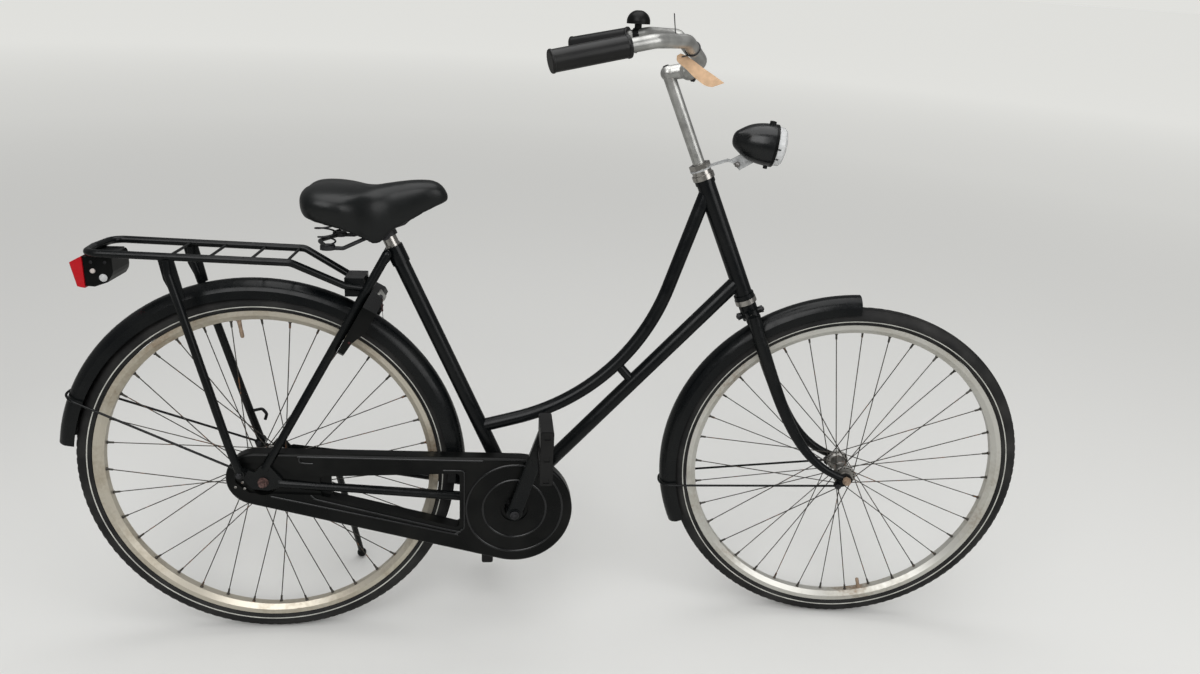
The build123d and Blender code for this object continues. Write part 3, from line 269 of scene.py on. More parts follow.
FRONT_RIM = rim_metal("front_rim_metal", (0.66, 0.65, 0.60), (0.57, 0.55, 0.49))
REAR_RIM = rim_metal("rear_rim_metal", (0.62, 0.575, 0.48), (0.50, 0.445, 0.35))


# %% [markdown]
# ## Rubber
# Tyres and grips are the same black rubber in two states: a dry tyre greys where dust sits,
# and a handled grip is darker and shines more.

# %% Rubber
def rubber(name, tone, roughness, grain_scale, shine):
    """Black rubber that greys where dust sits."""
    material, n, links, shader = new_finish(name, grey(tone), roughness)
    dust = object_noise(n, links, 18.0, 8.0)
    links.new(
        ramp(n, links, dust, [(0.4, grey(tone * 0.8)), (0.72, (tone * 2.0, tone * 1.95, tone * 1.85))]),
        shader.inputs["Base Color"],
    )
    add_bump(n, links, shader, object_noise(n, links, grain_scale, 3.0), 0.15, 0.0005)
    shader.inputs["Specular IOR Level"].default_value = shine
    return material


TYRE = rubber("tyre_rubber", 0.014, 0.62, 600.0, 0.25)
GRIP = rubber("grip_rubber", 0.004, 0.36, 900.0, 0.42)


# %% [markdown]
# ## Leathercloth
# The saddle's cover is embossed with small pebbles.  They are far too fine to model, so a
# Voronoi texture raises them in the bump only, and the saddle's own form stays geometry.

# %% Leathercloth
def saddle_cloth():
    """Leathercloth: pebbled cells and a soft sheen that varies in patches."""
    material, n, links, shader = new_finish("saddle_cloth", (0.0035, 0.0045, 0.0046), 0.4)
    place = n.new("ShaderNodeTexCoord")
    pebble = n.new("ShaderNodeTexVoronoi")
    pebble.inputs["Scale"].default_value = 900.0
    links.new(place.outputs["Object"], pebble.inputs["Vector"])
    links.new(
        ramp(n, links, object_noise(n, links, 16.0, 6.0), [(0.35, grey(0.30)), (0.75, grey(0.44))]),
        shader.inputs["Roughness"],
    )
    add_bump(n, links, shader, pebble.outputs["Distance"], 0.14, 0.0003)
    shader.inputs["Specular IOR Level"].default_value = 0.42
    return material


SADDLE = saddle_cloth()


# %% [markdown]
# ## Lenses
# Both lenses are ribbed plastic.  The clear one lets half the light through; the red one is
# nearly solid colour, since a dark housing lies behind it.

# %% Lenses
def lens(name, colour, roughness, transmission):
    """Clear or coloured plastic with fine ribs in its bump."""
    material, n, links, shader = new_finish(name, colour, roughness)
    shader.inputs["Transmission Weight"].default_value = transmission
    shader.inputs["IOR"].default_value = 1.49
    place = n.new("ShaderNodeTexCoord")
    ribs = n.new("ShaderNodeTexWave")
    ribs.bands_direction = "Y"
    ribs.inputs["Scale"].default_value = 120.0
    links.new(place.outputs["Object"], ribs.inputs["Vector"])
    add_bump(n, links, shader, ribs.outputs["Fac"], 0.35, 0.0006)
    return material


CLEAR = lens("clear_lens", (0.97, 0.98, 0.98), 0.2, 0.5)
RED = lens("red_lens", (0.47, 0.006, 0.012), 0.22, 0.1)


# %% [markdown]
# ## Small finishes
# Bare aluminium, zinc, wire, card and small plastic parts differ mostly in colour and shine.
# One function with patches and a faint grain serves them all, and each keeps its own row.

# %% Small finishes
def plain(name, colour, roughness, metallic=0.0, spread=0.35, scale=60.0, shine=0.5):
    """One colour, a little lighter and darker in patches, with a faint grain."""
    material, n, links, shader = new_finish(name, colour, roughness, metallic)
    low = tuple(c * (1 - spread) for c in colour)
    high = tuple(min(1.0, c * (1 + spread)) for c in colour)
    links.new(
        ramp(n, links, object_noise(n, links, scale, 6.0), [(0.35, low), (0.65, high)]),
        shader.inputs["Base Color"],
    )
    add_bump(n, links, shader, object_noise(n, links, scale * 12, 2.0), 0.15, 0.0004)
    shader.inputs["Specular IOR Level"].default_value = shine
    return material


ALUMINIUM = plain("worn_aluminium", (0.50, 0.50, 0.48), 0.36, 0.82, 0.2, 45.0)
GALVANISED = plain("galvanised_steel", (0.48, 0.49, 0.49), 0.5, 0.5, 0.2, 120.0)
LAMP_SILVER = plain("lamp_silver", (0.86, 0.87, 0.88), 0.45, 0.2, 0.04, 60.0)
BAND = plain("reflective_band", (0.46, 0.46, 0.42), 0.35, 0.0, 0.2, 40.0)
BEAD = plain("polished_bead", (0.004, 0.0045, 0.005), 0.2, 0.0, 0.3, 60.0, 0.6)
AGED_BRASS = plain("aged_brass", (0.34, 0.25, 0.18), 0.5, 0.4, 0.25, 150.0)
RUSTY = plain("rusty_steel", (0.105, 0.060, 0.053), 0.7, 0.35, 0.5, 220.0)
BLACK_WIRE = plain("black_wire", (0.018, 0.018, 0.02), 0.45, 0.2, 0.4, 120.0)
PALE = plain("pale_plastic", (0.50, 0.45, 0.42), 0.45, 0.0, 0.15, 80.0)
CAP_GREY = plain("cap_grey", (0.34, 0.34, 0.32), 0.5, 0.1, 0.15, 80.0)
KRAFT = plain("kraft_card", (0.60, 0.40, 0.245), 0.85, 0.0, 0.10, 90.0)
FOB = plain("fob_leather", (0.035, 0.008, 0.008), 0.6, 0.0, 0.4, 150.0)
RED_DOT = plain("red_button", (0.05, 0.006, 0.007), 0.4, 0.0, 0.2, 150.0)


# %% [markdown]
# ## Dress the solid pieces
# A solid whose form is already right keeps it and only gets a finish.  A short table from
# finish to pieces is easier to read, and to change, than fifty separate lines.

# %% Finishes for the solid pieces
finish_of = {
    PAINT: (
        "head_tube seat_tube down_tube loop_tube chainstay_right chainstay_left seatstay_right seatstay_left "
        "seatstay_bridge chainstay_bridge rack rack_leg_right rack_leg_left rear_mudguard front_mudguard "
        "rear_guard_stays front_guard_stays fork stand_mount side_stand crankset"
    ),
    LAMP_ENAMEL: "headlamp",
    CASE: "chaincase chaincase_cover rear_lamp ring_lock bell saddle_springs",
    CHROME: "headset_lower headset_upper locknut seat_post",
    ALUMINIUM: "stem handlebar",
    GALVANISED: "lamp_bracket",
    RUSTY: "rear_axle",
    AGED_BRASS: "front_axle",
    BLACK_WIRE: "saddle_frame bb_cups",
    SPOKE_STEEL: "front_hub rear_hub",
    FRONT_RIM: "front_rim",
    REAR_RIM: "rear_rim",
    TYRE: "front_tyre rear_tyre",
    GRIP: "grip_right grip_left pedal_right pedal_left",
    SADDLE: "saddle",
    CLEAR: "headlamp_lens",
    RED: "rear_lamp_lens",
}


def dress(node, material):
    """Give a solid piece one finish and soft shading up to a crease."""
    data = nodes[node].data
    data.materials.clear()
    data.materials.append(material)
    for face in data.polygons:
        face.use_smooth = True
    data.set_sharp_from_angle(angle=math.radians(32))


for material, names in finish_of.items():
    for node in names.split():
        dress(node, material)
left_plain = sorted(set(nodes) - set(" ".join(finish_of.values()).split()))
print("pieces with no finish:", left_plain)

# %% [markdown]
# ## Drawing small things
# Nuts, wires and turned parts come from four small builders.  `spin` turns a profile about
# any line, `wire` runs a round section along a smooth line, `slab` pushes an outline along
# its normal, and `settle` carries the finished drawing to the parked bicycle and ties it to
# a moving body.  Real meshes cost a few lines more than primitives, but their edges catch
# light where the real ones do.


# %% Mesh builders
def settle(name, bm, body, finish, crease=32):
    """Carry a drawn mesh to its parked place, give it finishes and tie it to a body."""
    bmesh.ops.remove_doubles(bm, verts=bm.verts, dist=2e-6)
    bmesh.ops.recalc_face_normals(bm, faces=bm.faces)
    mesh = bpy.data.meshes.new(name)
    bm.to_mesh(mesh)
    bm.free()
    mesh.transform(STEERED if body in ("steering", "front_wheel") else PARKED)
    for material in finish if isinstance(finish, tuple) else (finish,):
        mesh.materials.append(material)
    for face in mesh.polygons:
        face.use_smooth = True
    mesh.set_sharp_from_angle(angle=math.radians(crease))
    piece = bpy.data.objects.new(name, mesh)
    bpy.context.scene.collection.objects.link(piece)
    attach(piece, body)
    print(name, "has", len(mesh.polygons), "faces and rides on", body)
    return piece


def square_to(direction):
    """The unit direction and two unit vectors square to it."""
    along = Vector(direction).normalized()
    side = along.orthogonal().normalized()
    return along, side, along.cross(side)


def spin(bm, centre, axis, profile, steps=32, marks=None, looped=False):
    """Turn (along, radius) points about an axis; marks are the material number per band."""
    along, side, up = square_to(axis)
    centre = Vector(centre)
    rings = []
    for step in range(steps):
        angle = 2 * math.pi * step / steps
        out = side * math.cos(angle) + up * math.sin(angle)
        rings.append([bm.verts.new(centre + along * reach + out * radius) for reach, radius in profile])
    bands = len(profile) if looped else len(profile) - 1
    for step in range(steps):
        here, there = rings[step], rings[(step + 1) % steps]
        for j in range(bands):
            k = (j + 1) % len(profile)
            face = bm.faces.new((here[j], here[k], there[k], there[j]))
            if marks:
                face.material_index = marks[j]


def mm(*values):
    """Millimetres to a vector in metres."""
    return Vector([v / 1000 for v in values])


def nut(bm, at, direction, across=0.013, height=0.006):
    """Hexagon nut or bolt head with a chamfered crown and a rounded thread end."""
    corner = across / math.sqrt(3)
    crown = [(0, 0), (0, corner), (height * 0.85, corner), (height, corner * 0.87), (height, corner * 0.5)]
    spin(bm, at, direction, crown, 6)
    tip = [
        (height * 0.9, corner * 0.5), (height * 1.25, corner * 0.48), (height * 1.4, corner * 0.3),
        (height * 1.4, 0),
    ]
    spin(bm, at, direction, tip, 14)


def screw(bm, at, direction, radius=0.003, height=0.0015):
    """Low domed screw head with a dimple."""
    rise = [
        (0, radius), (height * 0.5, radius), (height, radius * 0.7),
        (height, radius * 0.35), (height * 0.4, radius * 0.25), (height * 0.4, 0),
    ]
    spin(bm, at, direction, rise, 16)


def smooth_route(points, parts):
    """Points on a smooth line through the given ones."""
    points = [Vector(p) for p in points]
    if len(points) < 3:
        return points
    ends = [points[0] * 2 - points[1]] + points + [points[-1] * 2 - points[-2]]
    route = []
    for a, b, c, d in zip(ends, ends[1:], ends[2:], ends[3:]):
        for i in range(parts):
            t = i / parts
            route.append(0.5 * (2 * b + (c - a) * t + (2 * a - 5 * b + 4 * c - d) * t * t
                                + (3 * b - a - 3 * c + d) * t ** 3))
    return route + [points[-1]]


def wire(bm, points, radius, sides=8, parts=6, flat=1.0, mark=0):
    """A round or flattened wire along a smooth line."""
    route = smooth_route(points, parts)
    _, side, _ = square_to(route[1] - route[0])
    rings = []
    for i, point in enumerate(route):
        ahead = route[min(i + 1, len(route) - 1)] - route[max(i - 1, 0)]
        along = ahead.normalized()
        side = (side - along * side.dot(along)).normalized()
        up = along.cross(side)
        ring = []
        for k in range(sides):
            angle = 2 * math.pi * k / sides
            edge = point + side * math.cos(angle) * radius + up * math.sin(angle) * radius * flat
            ring.append(bm.verts.new(edge))
        rings.append(ring)
    for here, there in zip(rings, rings[1:]):
        for k in range(sides):
            face = bm.faces.new((here[k], here[(k + 1) % sides], there[(k + 1) % sides], there[k]))
            face.material_index = mark
    for ring in (rings[0][::-1], rings[-1]):
        bm.faces.new(ring).material_index = mark


def slab(bm, outline, push, mark=0):
    """A flat plate: the outline and its copy moved by push, joined round the edge."""
    push = Vector(push)
    low = [bm.verts.new(Vector(p)) for p in outline]
    high = [bm.verts.new(Vector(p) + push) for p in outline]
    faces = [bm.faces.new(low[::-1]), bm.faces.new(high)]
    for k in range(len(low)):
        n = (k + 1) % len(low)
        faces.append(bm.faces.new((low[k], low[n], high[n], high[k])))
    for face in faces:
        face.material_index = mark


print("builders ready")

# %% [markdown]
# ## Tyres
# Black rubber on a pale floor is read by its edge, so the tread is real geometry: a centre
# rib, two rows of blocks cut by cross grooves, and a plain sidewall.  A pale reflective band
# runs round each sidewall, narrow and flush.  The section is turned 480 times; every fourth
# turn drops the blocks, which makes the cross grooves.

# %% Tyres with tread
SECTION = 0.0182
SECTION_CENTRE = WHEEL_RADIUS - TYRE_HALF_WIDTH
TREAD = [
    (0, "rib"), (4.5, "rib"), (6, "gap"), (9, "gap"), (10.5, "block"), (21, "block"), (22.5, "gap"),
    (26, "gap"), (27.5, "edge"), (40, "edge"), (43, "wall"), (54, "wall"), (66, "wall"), (80, "wall"),
    (92, "wall"), (102, "band"), (108, "band"), (118, "wall"), (131, "wall"),
]
RISE = {"rib": 0.0007, "gap": -0.0006, "block": 0.0006, "edge": 0.0005}


def tyre(name, centre_x, body, node):
    """A road tyre that stands in for the plain solid one."""
    bm = bmesh.new()
    section = [(-angle, kind) for angle, kind in TREAD[:0:-1]] + TREAD
    steps = 480
    centre = Vector((centre_x, 0, WHEEL_RADIUS))
    rings = []
    for step in range(steps):
        turn = 2 * math.pi * step / steps
        out = Vector((math.cos(turn), 0, math.sin(turn)))
        ring = []
        for angle, kind in section:
            rise = RISE.get(kind, 0.0)
            shift = 2 if angle < 0 else 0
            if kind == "block" and (step + shift) % 4 == 0:
                rise = -0.0004
            if kind == "edge" and (step + shift + 1) % 4 < 2:
                rise = -0.0002
            radius = SECTION + rise
            lean_out = math.radians(angle)
            reach = SECTION_CENTRE + radius * math.cos(lean_out)
            ring.append(bm.verts.new(centre + out * reach + Vector((0, radius * math.sin(lean_out), 0))))
        rings.append(ring)
    for step in range(steps):
        here, there = rings[step], rings[(step + 1) % steps]
        for j in range(len(section) - 1):
            face = bm.faces.new((here[j], here[j + 1], there[j + 1], there[j]))
            face.material_index = 1 if section[j][1] == section[j + 1][1] == "band" else 0
    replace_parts(settle(name, bm, body, (TYRE, BAND), 26), node)


tyre("rear_tyre_tread", 0.0, "rear_wheel", "rear_tyre")
tyre("front_tyre_tread", WHEELBASE, "front_wheel", "front_tyre")

# %% [markdown]
# ## Hubs and spokes
# Thirty-six spokes leave each hub along a tangent, cross their neighbours and enter the rim
# through nipples.  The solid model places them as square bars without nipples.  Here they are
# drawn again as round wire with an elbow at the flange, and the hub gets a waist with a raised
# band round its middle, and a cap at each end.


# %% Laced wheels
SPOKES_A_SIDE = 18
SPOKE_SWEEP = math.radians(62)
NIPPLE_SEAT = 0.2995


def laced_hub(name, centre_x, body, node, barrel, flange, flange_y, half_width, caps):
    """Hub barrel, flanges, spokes and nipples of one wheel."""
    bm = bmesh.new()
    centre = Vector((centre_x, 0, WHEEL_RADIUS))
    profile = [(-half_width, 0.006), (-half_width, caps[0]), (-half_width + 0.004, caps[0])]
    profile += [(-half_width + 0.006, caps[0] * 0.8)]
    profile += [(-flange_y - 0.003, barrel * 0.72), (-flange_y - 0.002, flange * 0.8)]
    for side in (-1, 1):
        edge = [(-0.0014, flange - 0.001), (-0.0008, flange), (0.0008, flange), (0.0014, flange - 0.001)]
        profile += [(side * flange_y + y, r) for y, r in edge]
        if side < 0:
            waist = barrel * 0.97
            profile += [(-flange_y + 0.002, flange * 0.8), (-flange_y + 0.005, barrel)]
            profile += [(-flange_y * 0.4, waist), (-0.004, waist), (-0.003, barrel * 1.03)]
            profile += [(0.003, barrel * 1.03), (0.004, waist), (flange_y * 0.4, waist)]
            profile += [(flange_y - 0.005, barrel), (flange_y - 0.002, flange * 0.8)]
    profile += [(flange_y + 0.002, flange * 0.8), (flange_y + 0.003, barrel * 0.72)]
    profile += [(half_width - 0.006, caps[1] * 0.8)]
    profile += [(half_width - 0.004, caps[1]), (half_width, caps[1]), (half_width, 0.006)]
    spin(bm, centre, (0, 1, 0), profile, 48, [1] * len(profile))
    hole = flange - 0.0035
    for side in (-1, 1):
        for i in range(SPOKES_A_SIDE):
            lean_way = 1 if i % 2 else -1
            rim_turn = math.radians(20 * i + (10 if side > 0 else 0))
            hub_turn = rim_turn + lean_way * SPOKE_SWEEP
            y = side * (flange_y + lean_way * 0.0021)
            start = centre + Vector((hole * math.cos(hub_turn), y, hole * math.sin(hub_turn)))
            rim_x, rim_z = NIPPLE_SEAT * math.cos(rim_turn), NIPPLE_SEAT * math.sin(rim_turn)
            end = centre + Vector((rim_x, side * 0.003, rim_z))
            head = start - Vector((0, side * lean_way * 0.0042, 0))
            wire(bm, [head, start], 0.0016, 8)
            wire(bm, [start, end], 0.00098, 8)
            nipple = [(0, 0.0032), (0.0015, 0.0032), (0.003, 0.0021), (0.012, 0.0019), (0.0125, 0.001)]
            spin(bm, end, start - end, nipple, 10)
    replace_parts(settle(name, bm, body, (SPOKE_STEEL, HUB_STEEL)), node)


laced_hub("front_hub_laced", WHEELBASE, "front_wheel", "front_hub",
          0.014, 0.022, 0.033, 0.044, (0.012, 0.012))
laced_hub("rear_hub_laced", 0.0, "rear_wheel", "rear_hub",
          0.028, 0.036, 0.024, 0.050, (0.022, 0.019))

# %% [markdown]
# ## Valves
# A valve stands on the rim's bed and points at the hub.  It could be stacked from cylinders;
# one turned profile gives the nut, stem, neck and cap together, with no seams between them.

# %% Valves
VALVE_SEAT = 0.3005


def valve(name, centre_x, turn_degrees, body, length):
    """A brass stem with its cap and rim nut, pointing from the rim to the hub."""
    bm = bmesh.new()
    turn = math.radians(turn_degrees)
    out = Vector((math.cos(turn), 0, math.sin(turn)))
    seat = Vector((centre_x, 0, WHEEL_RADIUS)) + out * VALVE_SEAT
    stem = [(0, 0.0055), (0.003, 0.0055), (0.0035, 0.004), (length * 0.6, 0.0032)]
    cap = [(length * 0.62, 0.0038), (length * 0.94, 0.0036), (length, 0.0022), (length, 0)]
    spin(bm, seat, -out, stem + cap, 18)
    settle(name, bm, body, AGED_BRASS)


valve("rear_valve", 0.0, 97.5, "rear_wheel", 0.036)
valve("front_valve", WHEELBASE, 285.6, "front_wheel", 0.023)

# %% [markdown]
# ## Saddle
# The saddle is foam under leathercloth.  Its form is drawn as rows across: each row runs over
# the padded top, down the skirt and back under the shell, which stays open between tail and
# nose.  The drawn form is a millimetre too thin.  Air pressure then blows the cover out
# against its own stretch, which rounds the crests as foam does; the part that is fixed to
# the shell is pinned, and no point may travel more than five millimetres.

# %% Saddle rows
# x, half width, top and bottom of each row in millimetres, from the tail to the nose
STATIONS = [
    (87, 22, 880, 868), (89, 44, 887, 861), (93, 62, 893, 855), (100, 79, 899, 850),
    (111, 91, 903, 846), (126, 97.5, 904.5, 842), (147, 99, 904.5, 837), (168, 94, 903, 829),
    (186, 82, 901, 819), (200, 67, 900, 809), (212, 56, 900.5, 801), (224, 48, 902.5, 804),
    (238, 41, 905, 820), (255, 37, 908, 831), (277, 33, 911, 843), (300, 29, 912, 857),
    (315, 25, 910, 865), (326, 20, 904, 870), (333, 14, 896, 873), (337, 8, 888, 876),
    (338.5, 4, 883, 878),
]
COVER_SLACK = 1.0
COVER_ROUNDNESS = 0.84
FURROW_DEPTH = 2.5
FURROW_WIDTH = 18
PADDING = 22
SHELL_WALL = 10.0


def saddle_ring(row):
    """One closed row of points: over the outside from left to right, then back inside."""
    x, half, top, bottom = row
    half, top = half - COVER_SLACK * min(1, half / 20), top - COVER_SLACK
    middle, rise = (top + bottom) / 2, max(1.0, (top - bottom) / 2)
    ring = []
    for k in range(-16, 17):
        angle = math.pi * k / 32
        wide = math.copysign(abs(math.sin(angle)) ** COVER_ROUNDNESS, angle)
        dip = FURROW_DEPTH * math.exp(-((half * wide) / FURROW_WIDTH) ** 2) * min(1, max(0, (230 - x) / 60))
        ring.append((half * wide, middle + rise * math.cos(angle) ** COVER_ROUNDNESS - dip))
    skirt = [(half * (1 - 0.16 * t ** 2), middle - rise * t) for t in (0.25, 0.5, 0.72, 0.9, 1.0)]
    ring = [(-y, z) for y, z in reversed(skirt)] + ring + skirt
    open_share = min(1, max(0, (x - 104) / 10)) * min(1, max(0, (300 - x) / 14))
    inner_half = half - min(SHELL_WALL, half * 0.5)
    ceiling = bottom + (top - PADDING - bottom) * open_share
    inside = [(inner_half * 0.84, bottom + 0.6), (inner_half, bottom + (ceiling - bottom) * 0.5),
              (inner_half * 0.92, ceiling), (0, ceiling + 1.5 * open_share)]
    return [mm(x, y, z) for y, z in ring + inside + [(-y, z) for y, z in reversed(inside[:-1])]]


bm = bmesh.new()
stations = smooth_route([Vector(s) for s in STATIONS], 4)
rows = [[bm.verts.new(point) for point in saddle_ring(row)] for row in stations]
for here, there in zip(rows, rows[1:]):
    for k in range(len(here)):
        n = (k + 1) % len(here)
        bm.faces.new((here[k], here[n], there[n], there[k]))
for row in (rows[0], rows[-1]):
    bm.faces.new(row)
saddle = settle("saddle_pad", bm, "frame", SADDLE, 80)
print("saddle rows:", len(rows))


# %% Blow up the cover
CLOTH_STEPS = 20


def evaluated_mesh(piece):
    """The piece's mesh with its modifiers applied."""
    return bpy.data.meshes.new_from_object(piece.evaluated_get(bpy.context.evaluated_depsgraph_get()))


def swap_mesh(piece, mesh):
    """Drop the modifiers and keep their result."""
    piece.modifiers.clear()
    piece.data = mesh
    for face in mesh.polygons:
        face.use_smooth = True


def blow_up(pad, cell, pressure, furthest, pinned):
    """Push a cover out by air; pinned(point) tells what the shell holds."""
    even = pad.modifiers.new("even", "REMESH")
    even.mode = "VOXEL"
    even.voxel_size = cell
    soft = pad.modifiers.new("soft", "SMOOTH")
    soft.iterations = 4
    swap_mesh(pad, evaluated_mesh(pad))
    start = [v.co.copy() for v in pad.data.vertices]
    held = pad.vertex_groups.new(name="shell")
    held.add([i for i, point in enumerate(start) if pinned(point)], 1.0, "ADD")
    cloth = pad.modifiers.new("cover", "CLOTH")
    cloth.settings.use_pressure = True
    cloth.settings.uniform_pressure_force = pressure
    cloth.settings.effector_weights.gravity = 0
    cloth.settings.tension_stiffness = 5
    cloth.settings.compression_stiffness = 5
    cloth.settings.bending_stiffness = 1.5
    cloth.settings.vertex_group_mass = "shell"
    cloth.collision_settings.use_collision = False
    cloth.point_cache.frame_start, cloth.point_cache.frame_end = 1, CLOTH_STEPS
    for frame_number in range(1, CLOTH_STEPS + 1):
        bpy.context.scene.frame_set(frame_number)
    swap_mesh(pad, evaluated_mesh(pad))
    pad.vertex_groups.clear()
    travel = []
    for vertex, before in zip(pad.data.vertices, start):
        move = vertex.co - before
        travel.append(move.length)
        if move.length > furthest:
            vertex.co = before + move.normalized() * furthest
    bpy.context.scene.frame_set(1)
    return max(travel)


upright = PARKED.inverted()


def in_shell(point):
    """True for the points that the shell holds: its inside and its lower edge."""
    p = (upright @ point) * 1000
    near = min(stations, key=lambda s: abs(s[0] - p.x))
    inside = abs(p.y) < near[1] - SHELL_WALL and p.z < near[2] - 16
    return inside or p.z < near[3] + 7


print("furthest push, mm:", round(1000 * blow_up(saddle, 0.004, 4.0, 0.005, in_shell), 1))
smooth = saddle.modifiers.new("smooth", "SUBSURF")
smooth.levels = smooth.render_levels = 1
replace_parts(saddle, "saddle")
print("saddle faces:", len(saddle.data.polygons))

# %% [markdown]
# ## Saddle springs
# Each spring is a cone of wire, wide under the cover and narrow on its seat.  The Screw
# modifier could turn one; a loop gives the cone and both ends their places in one go.

# %% Saddle springs
SPRING_TURNS = 3.3
SPRING_SIDE = 60
SPRING_DROP = 50.5
spring_seat = [(0, 0), (0, 0.0125), (0.0022, 0.0125), (0.0028, 0.0115), (0.0028, 0)]
bm = bmesh.new()
for side in (-1, 1):
    turns = []
    for step in range(61):
        down = step / 60
        angle = math.radians(40) + 2 * math.pi * SPRING_TURNS * down
        radius = 20 - 8 * down
        x = 131 + 6 * down + radius * math.cos(angle)
        turns.append(mm(x, side * (SPRING_SIDE + radius * math.sin(angle)), 852 - SPRING_DROP * down))
    wire(bm, turns, 0.0016, 8, 3)
    spin(bm, mm(136, side * SPRING_SIDE, 799.5), (0, 0, 1), spring_seat, 28)
coils = settle("saddle_coils", bm, "frame", BLACK_WIRE, 50)
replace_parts(coils, "saddle_springs")

# %% [markdown]
# ## Lamps
# The headlamp's clear bowl is nearly invisible before a pale background, and what shows is
# the silver reflector behind it and the dark clips at its edge.  A solid bowl would bend the
# light like a marble, so it is a thin shell, with a reflector, a bulb and four short clips.

# %% Headlamp
LAMP_TILT = math.radians(7)
lamp_axis = Vector((math.cos(LAMP_TILT), 0, -math.sin(LAMP_TILT)))
lamp_up = Vector((math.sin(LAMP_TILT), 0, math.cos(LAMP_TILT)))
lamp_front = mm(922, 0, 996)
bm = bmesh.new()
bowl = [
    (0.0003, 0.0353), (0.006, 0.0350), (0.013, 0.0338), (0.0165, 0.0300),
    (0.0195, 0.0200), (0.0213, 0.0090), (0.0217, 0),
]
inner = [(0.0197, 0), (0.0175, 0.0185), (0.0146, 0.0285), (0.0118, 0.0318), (0.0006, 0.0330)]
spin(bm, lamp_front, lamp_axis, bowl + inner, 64, looped=True)
cover = settle("headlamp_bowl", bm, "steering", CLEAR)
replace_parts(cover, "headlamp_lens")

bm = bmesh.new()
dish = [(0.0009, 0.0326), (0.0006, 0.0300), (0.0004, 0.006), (0.0004, 0.0)]
bulb = [(0.0005, 0.004), (0.008, 0.004), (0.0105, 0.0028), (0.0115, 0)]
spin(bm, lamp_front, lamp_axis, dish, 64)
spin(bm, lamp_front, lamp_axis, bulb, 20)
settle("headlamp_reflector", bm, "steering", LAMP_SILVER)

clip_reach = 0.0359
rim_band = [(-0.004, 0.0376), (-0.0035, 0.0381), (0.0012, 0.0381), (0.0015, 0.0372), (0.0015, 0.0352)]
bm = bmesh.new()
for drop, aside in ((-0.001, 1), (-0.0195, 1), (-0.001, -1), (-0.0195, -1)):
    beside = Vector((0, -math.sqrt(clip_reach ** 2 - drop ** 2) * aside, 0))
    clip = [lamp_front + lamp_axis * along + lamp_up * drop + beside for along in (0.0, 0.004, 0.0075)]
    wire(bm, clip, 0.0011, 8, 2)
spin(bm, lamp_front, lamp_axis, rim_band, 64)
nut(bm, lamp_front - lamp_axis * 0.011 + lamp_up * 0.0414, lamp_up, 0.010, 0.001)
settle("headlamp_rim", bm, "steering", CASE)

bm = bmesh.new()
for side in (-1, 1):
    nut(bm, mm(858, side * 9, 961), (0, side, 0), 0.010, 0.004)
settle("lamp_bracket_bolt", bm, "steering", DULL_STEEL)

# %% [markdown]
# ## Rear lamp
# The rear lamp's housing and red lens are solids.  Its right side carries a pale button, two
# dark screws and a clear cap; each is a small turned piece, so its edge catches the light.

# %% Rear lamp
button = [(0, 0.0042), (0.0025, 0.0040), (0.0036, 0.0028), (0.0040, 0)]
clear_cap = [(0, 0.0068), (0.0015, 0.0068), (0.003, 0.0048), (0.0035, 0.002), (0.0035, 0)]
bm = bmesh.new()
spin(bm, mm(-262, -39, 742), (0, -1, 0), button, 18)
settle("rear_lamp_button", bm, "frame", PALE)
bm = bmesh.new()
for x in (-264, -241):
    screw(bm, mm(x, -38.9, 757), (0, -1, 0), 0.0028, 0.0012)
nut(bm, mm(-270, 0, 714.5), (0, 0, -1), 0.008, 0.004)
settle("rear_lamp_screws", bm, "frame", BLACK_WIRE)
bm = bmesh.new()
spin(bm, mm(-246, -39, 730), (0, -1, 0), clear_cap, 12)
settle("rear_lamp_clear_cap", bm, "frame", CLEAR)

# %% [markdown]
# ## What people have tied on
# A kraft-paper tag hangs from the right side of the bar on a cable tie.  The tag has clipped
# corners at its tied end, a slight twist, and a bare surface.  Cloth could drape it; a stiff
# card hardly drapes, so its middle line and half widths are given one by one.

# %% Paper tag and cable tie
def card(bm, rows, thick, steps=6):
    """A bent card with a thickness, through rows of its centre and its half-width vector."""
    centres = smooth_route([c for c, _ in rows], steps)
    halves = smooth_route([h for _, h in rows], steps)
    top, low = [], []
    for i, (centre, half) in enumerate(zip(centres, halves)):
        ahead = centres[min(i + 1, len(centres) - 1)] - centres[max(i - 1, 0)]
        lift = ahead.cross(half).normalized() * thick / 2
        across = [centre + half * share for share in (-1, -0.5, 0, 0.5, 1)]
        top.append([bm.verts.new(p + lift) for p in across])
        low.append([bm.verts.new(p - lift) for p in across])
    for side in (top, low):
        for here, there in zip(side, side[1:]):
            for k in range(4):
                bm.faces.new((here[k], here[k + 1], there[k + 1], there[k]))
    for k in (0, 4):
        for a, b, c, d in zip(top, top[1:], low[1:], low):
            bm.faces.new((a[k], b[k], c[k], d[k]))
    for row in (0, -1):
        for k in range(4):
            bm.faces.new((top[row][k], top[row][k + 1], low[row][k + 1], low[row][k]))


TAG_THICKNESS = 0.0005
tag_rows = [
    (mm(730, -132, 1150.5), mm(3.0, 3.6, 1.6)),
    (mm(735.5, -132, 1144.5), mm(7.2, 7.5, 4.2)),
    (mm(750, -131.5, 1135), mm(6.9, 6, 5.9)),
    (mm(764, -131, 1124.5), mm(6.9, 4, 7.3)),
    (mm(782, -130, 1113.5), mm(6.4, 2, 8.3)),
    (mm(798, -129.5, 1106.3), mm(9.7, 0, 3.8)),
]
bm = bmesh.new()
card(bm, tag_rows, TAG_THICKNESS, 7)
settle("kraft_tag", bm, "steering", KRAFT)

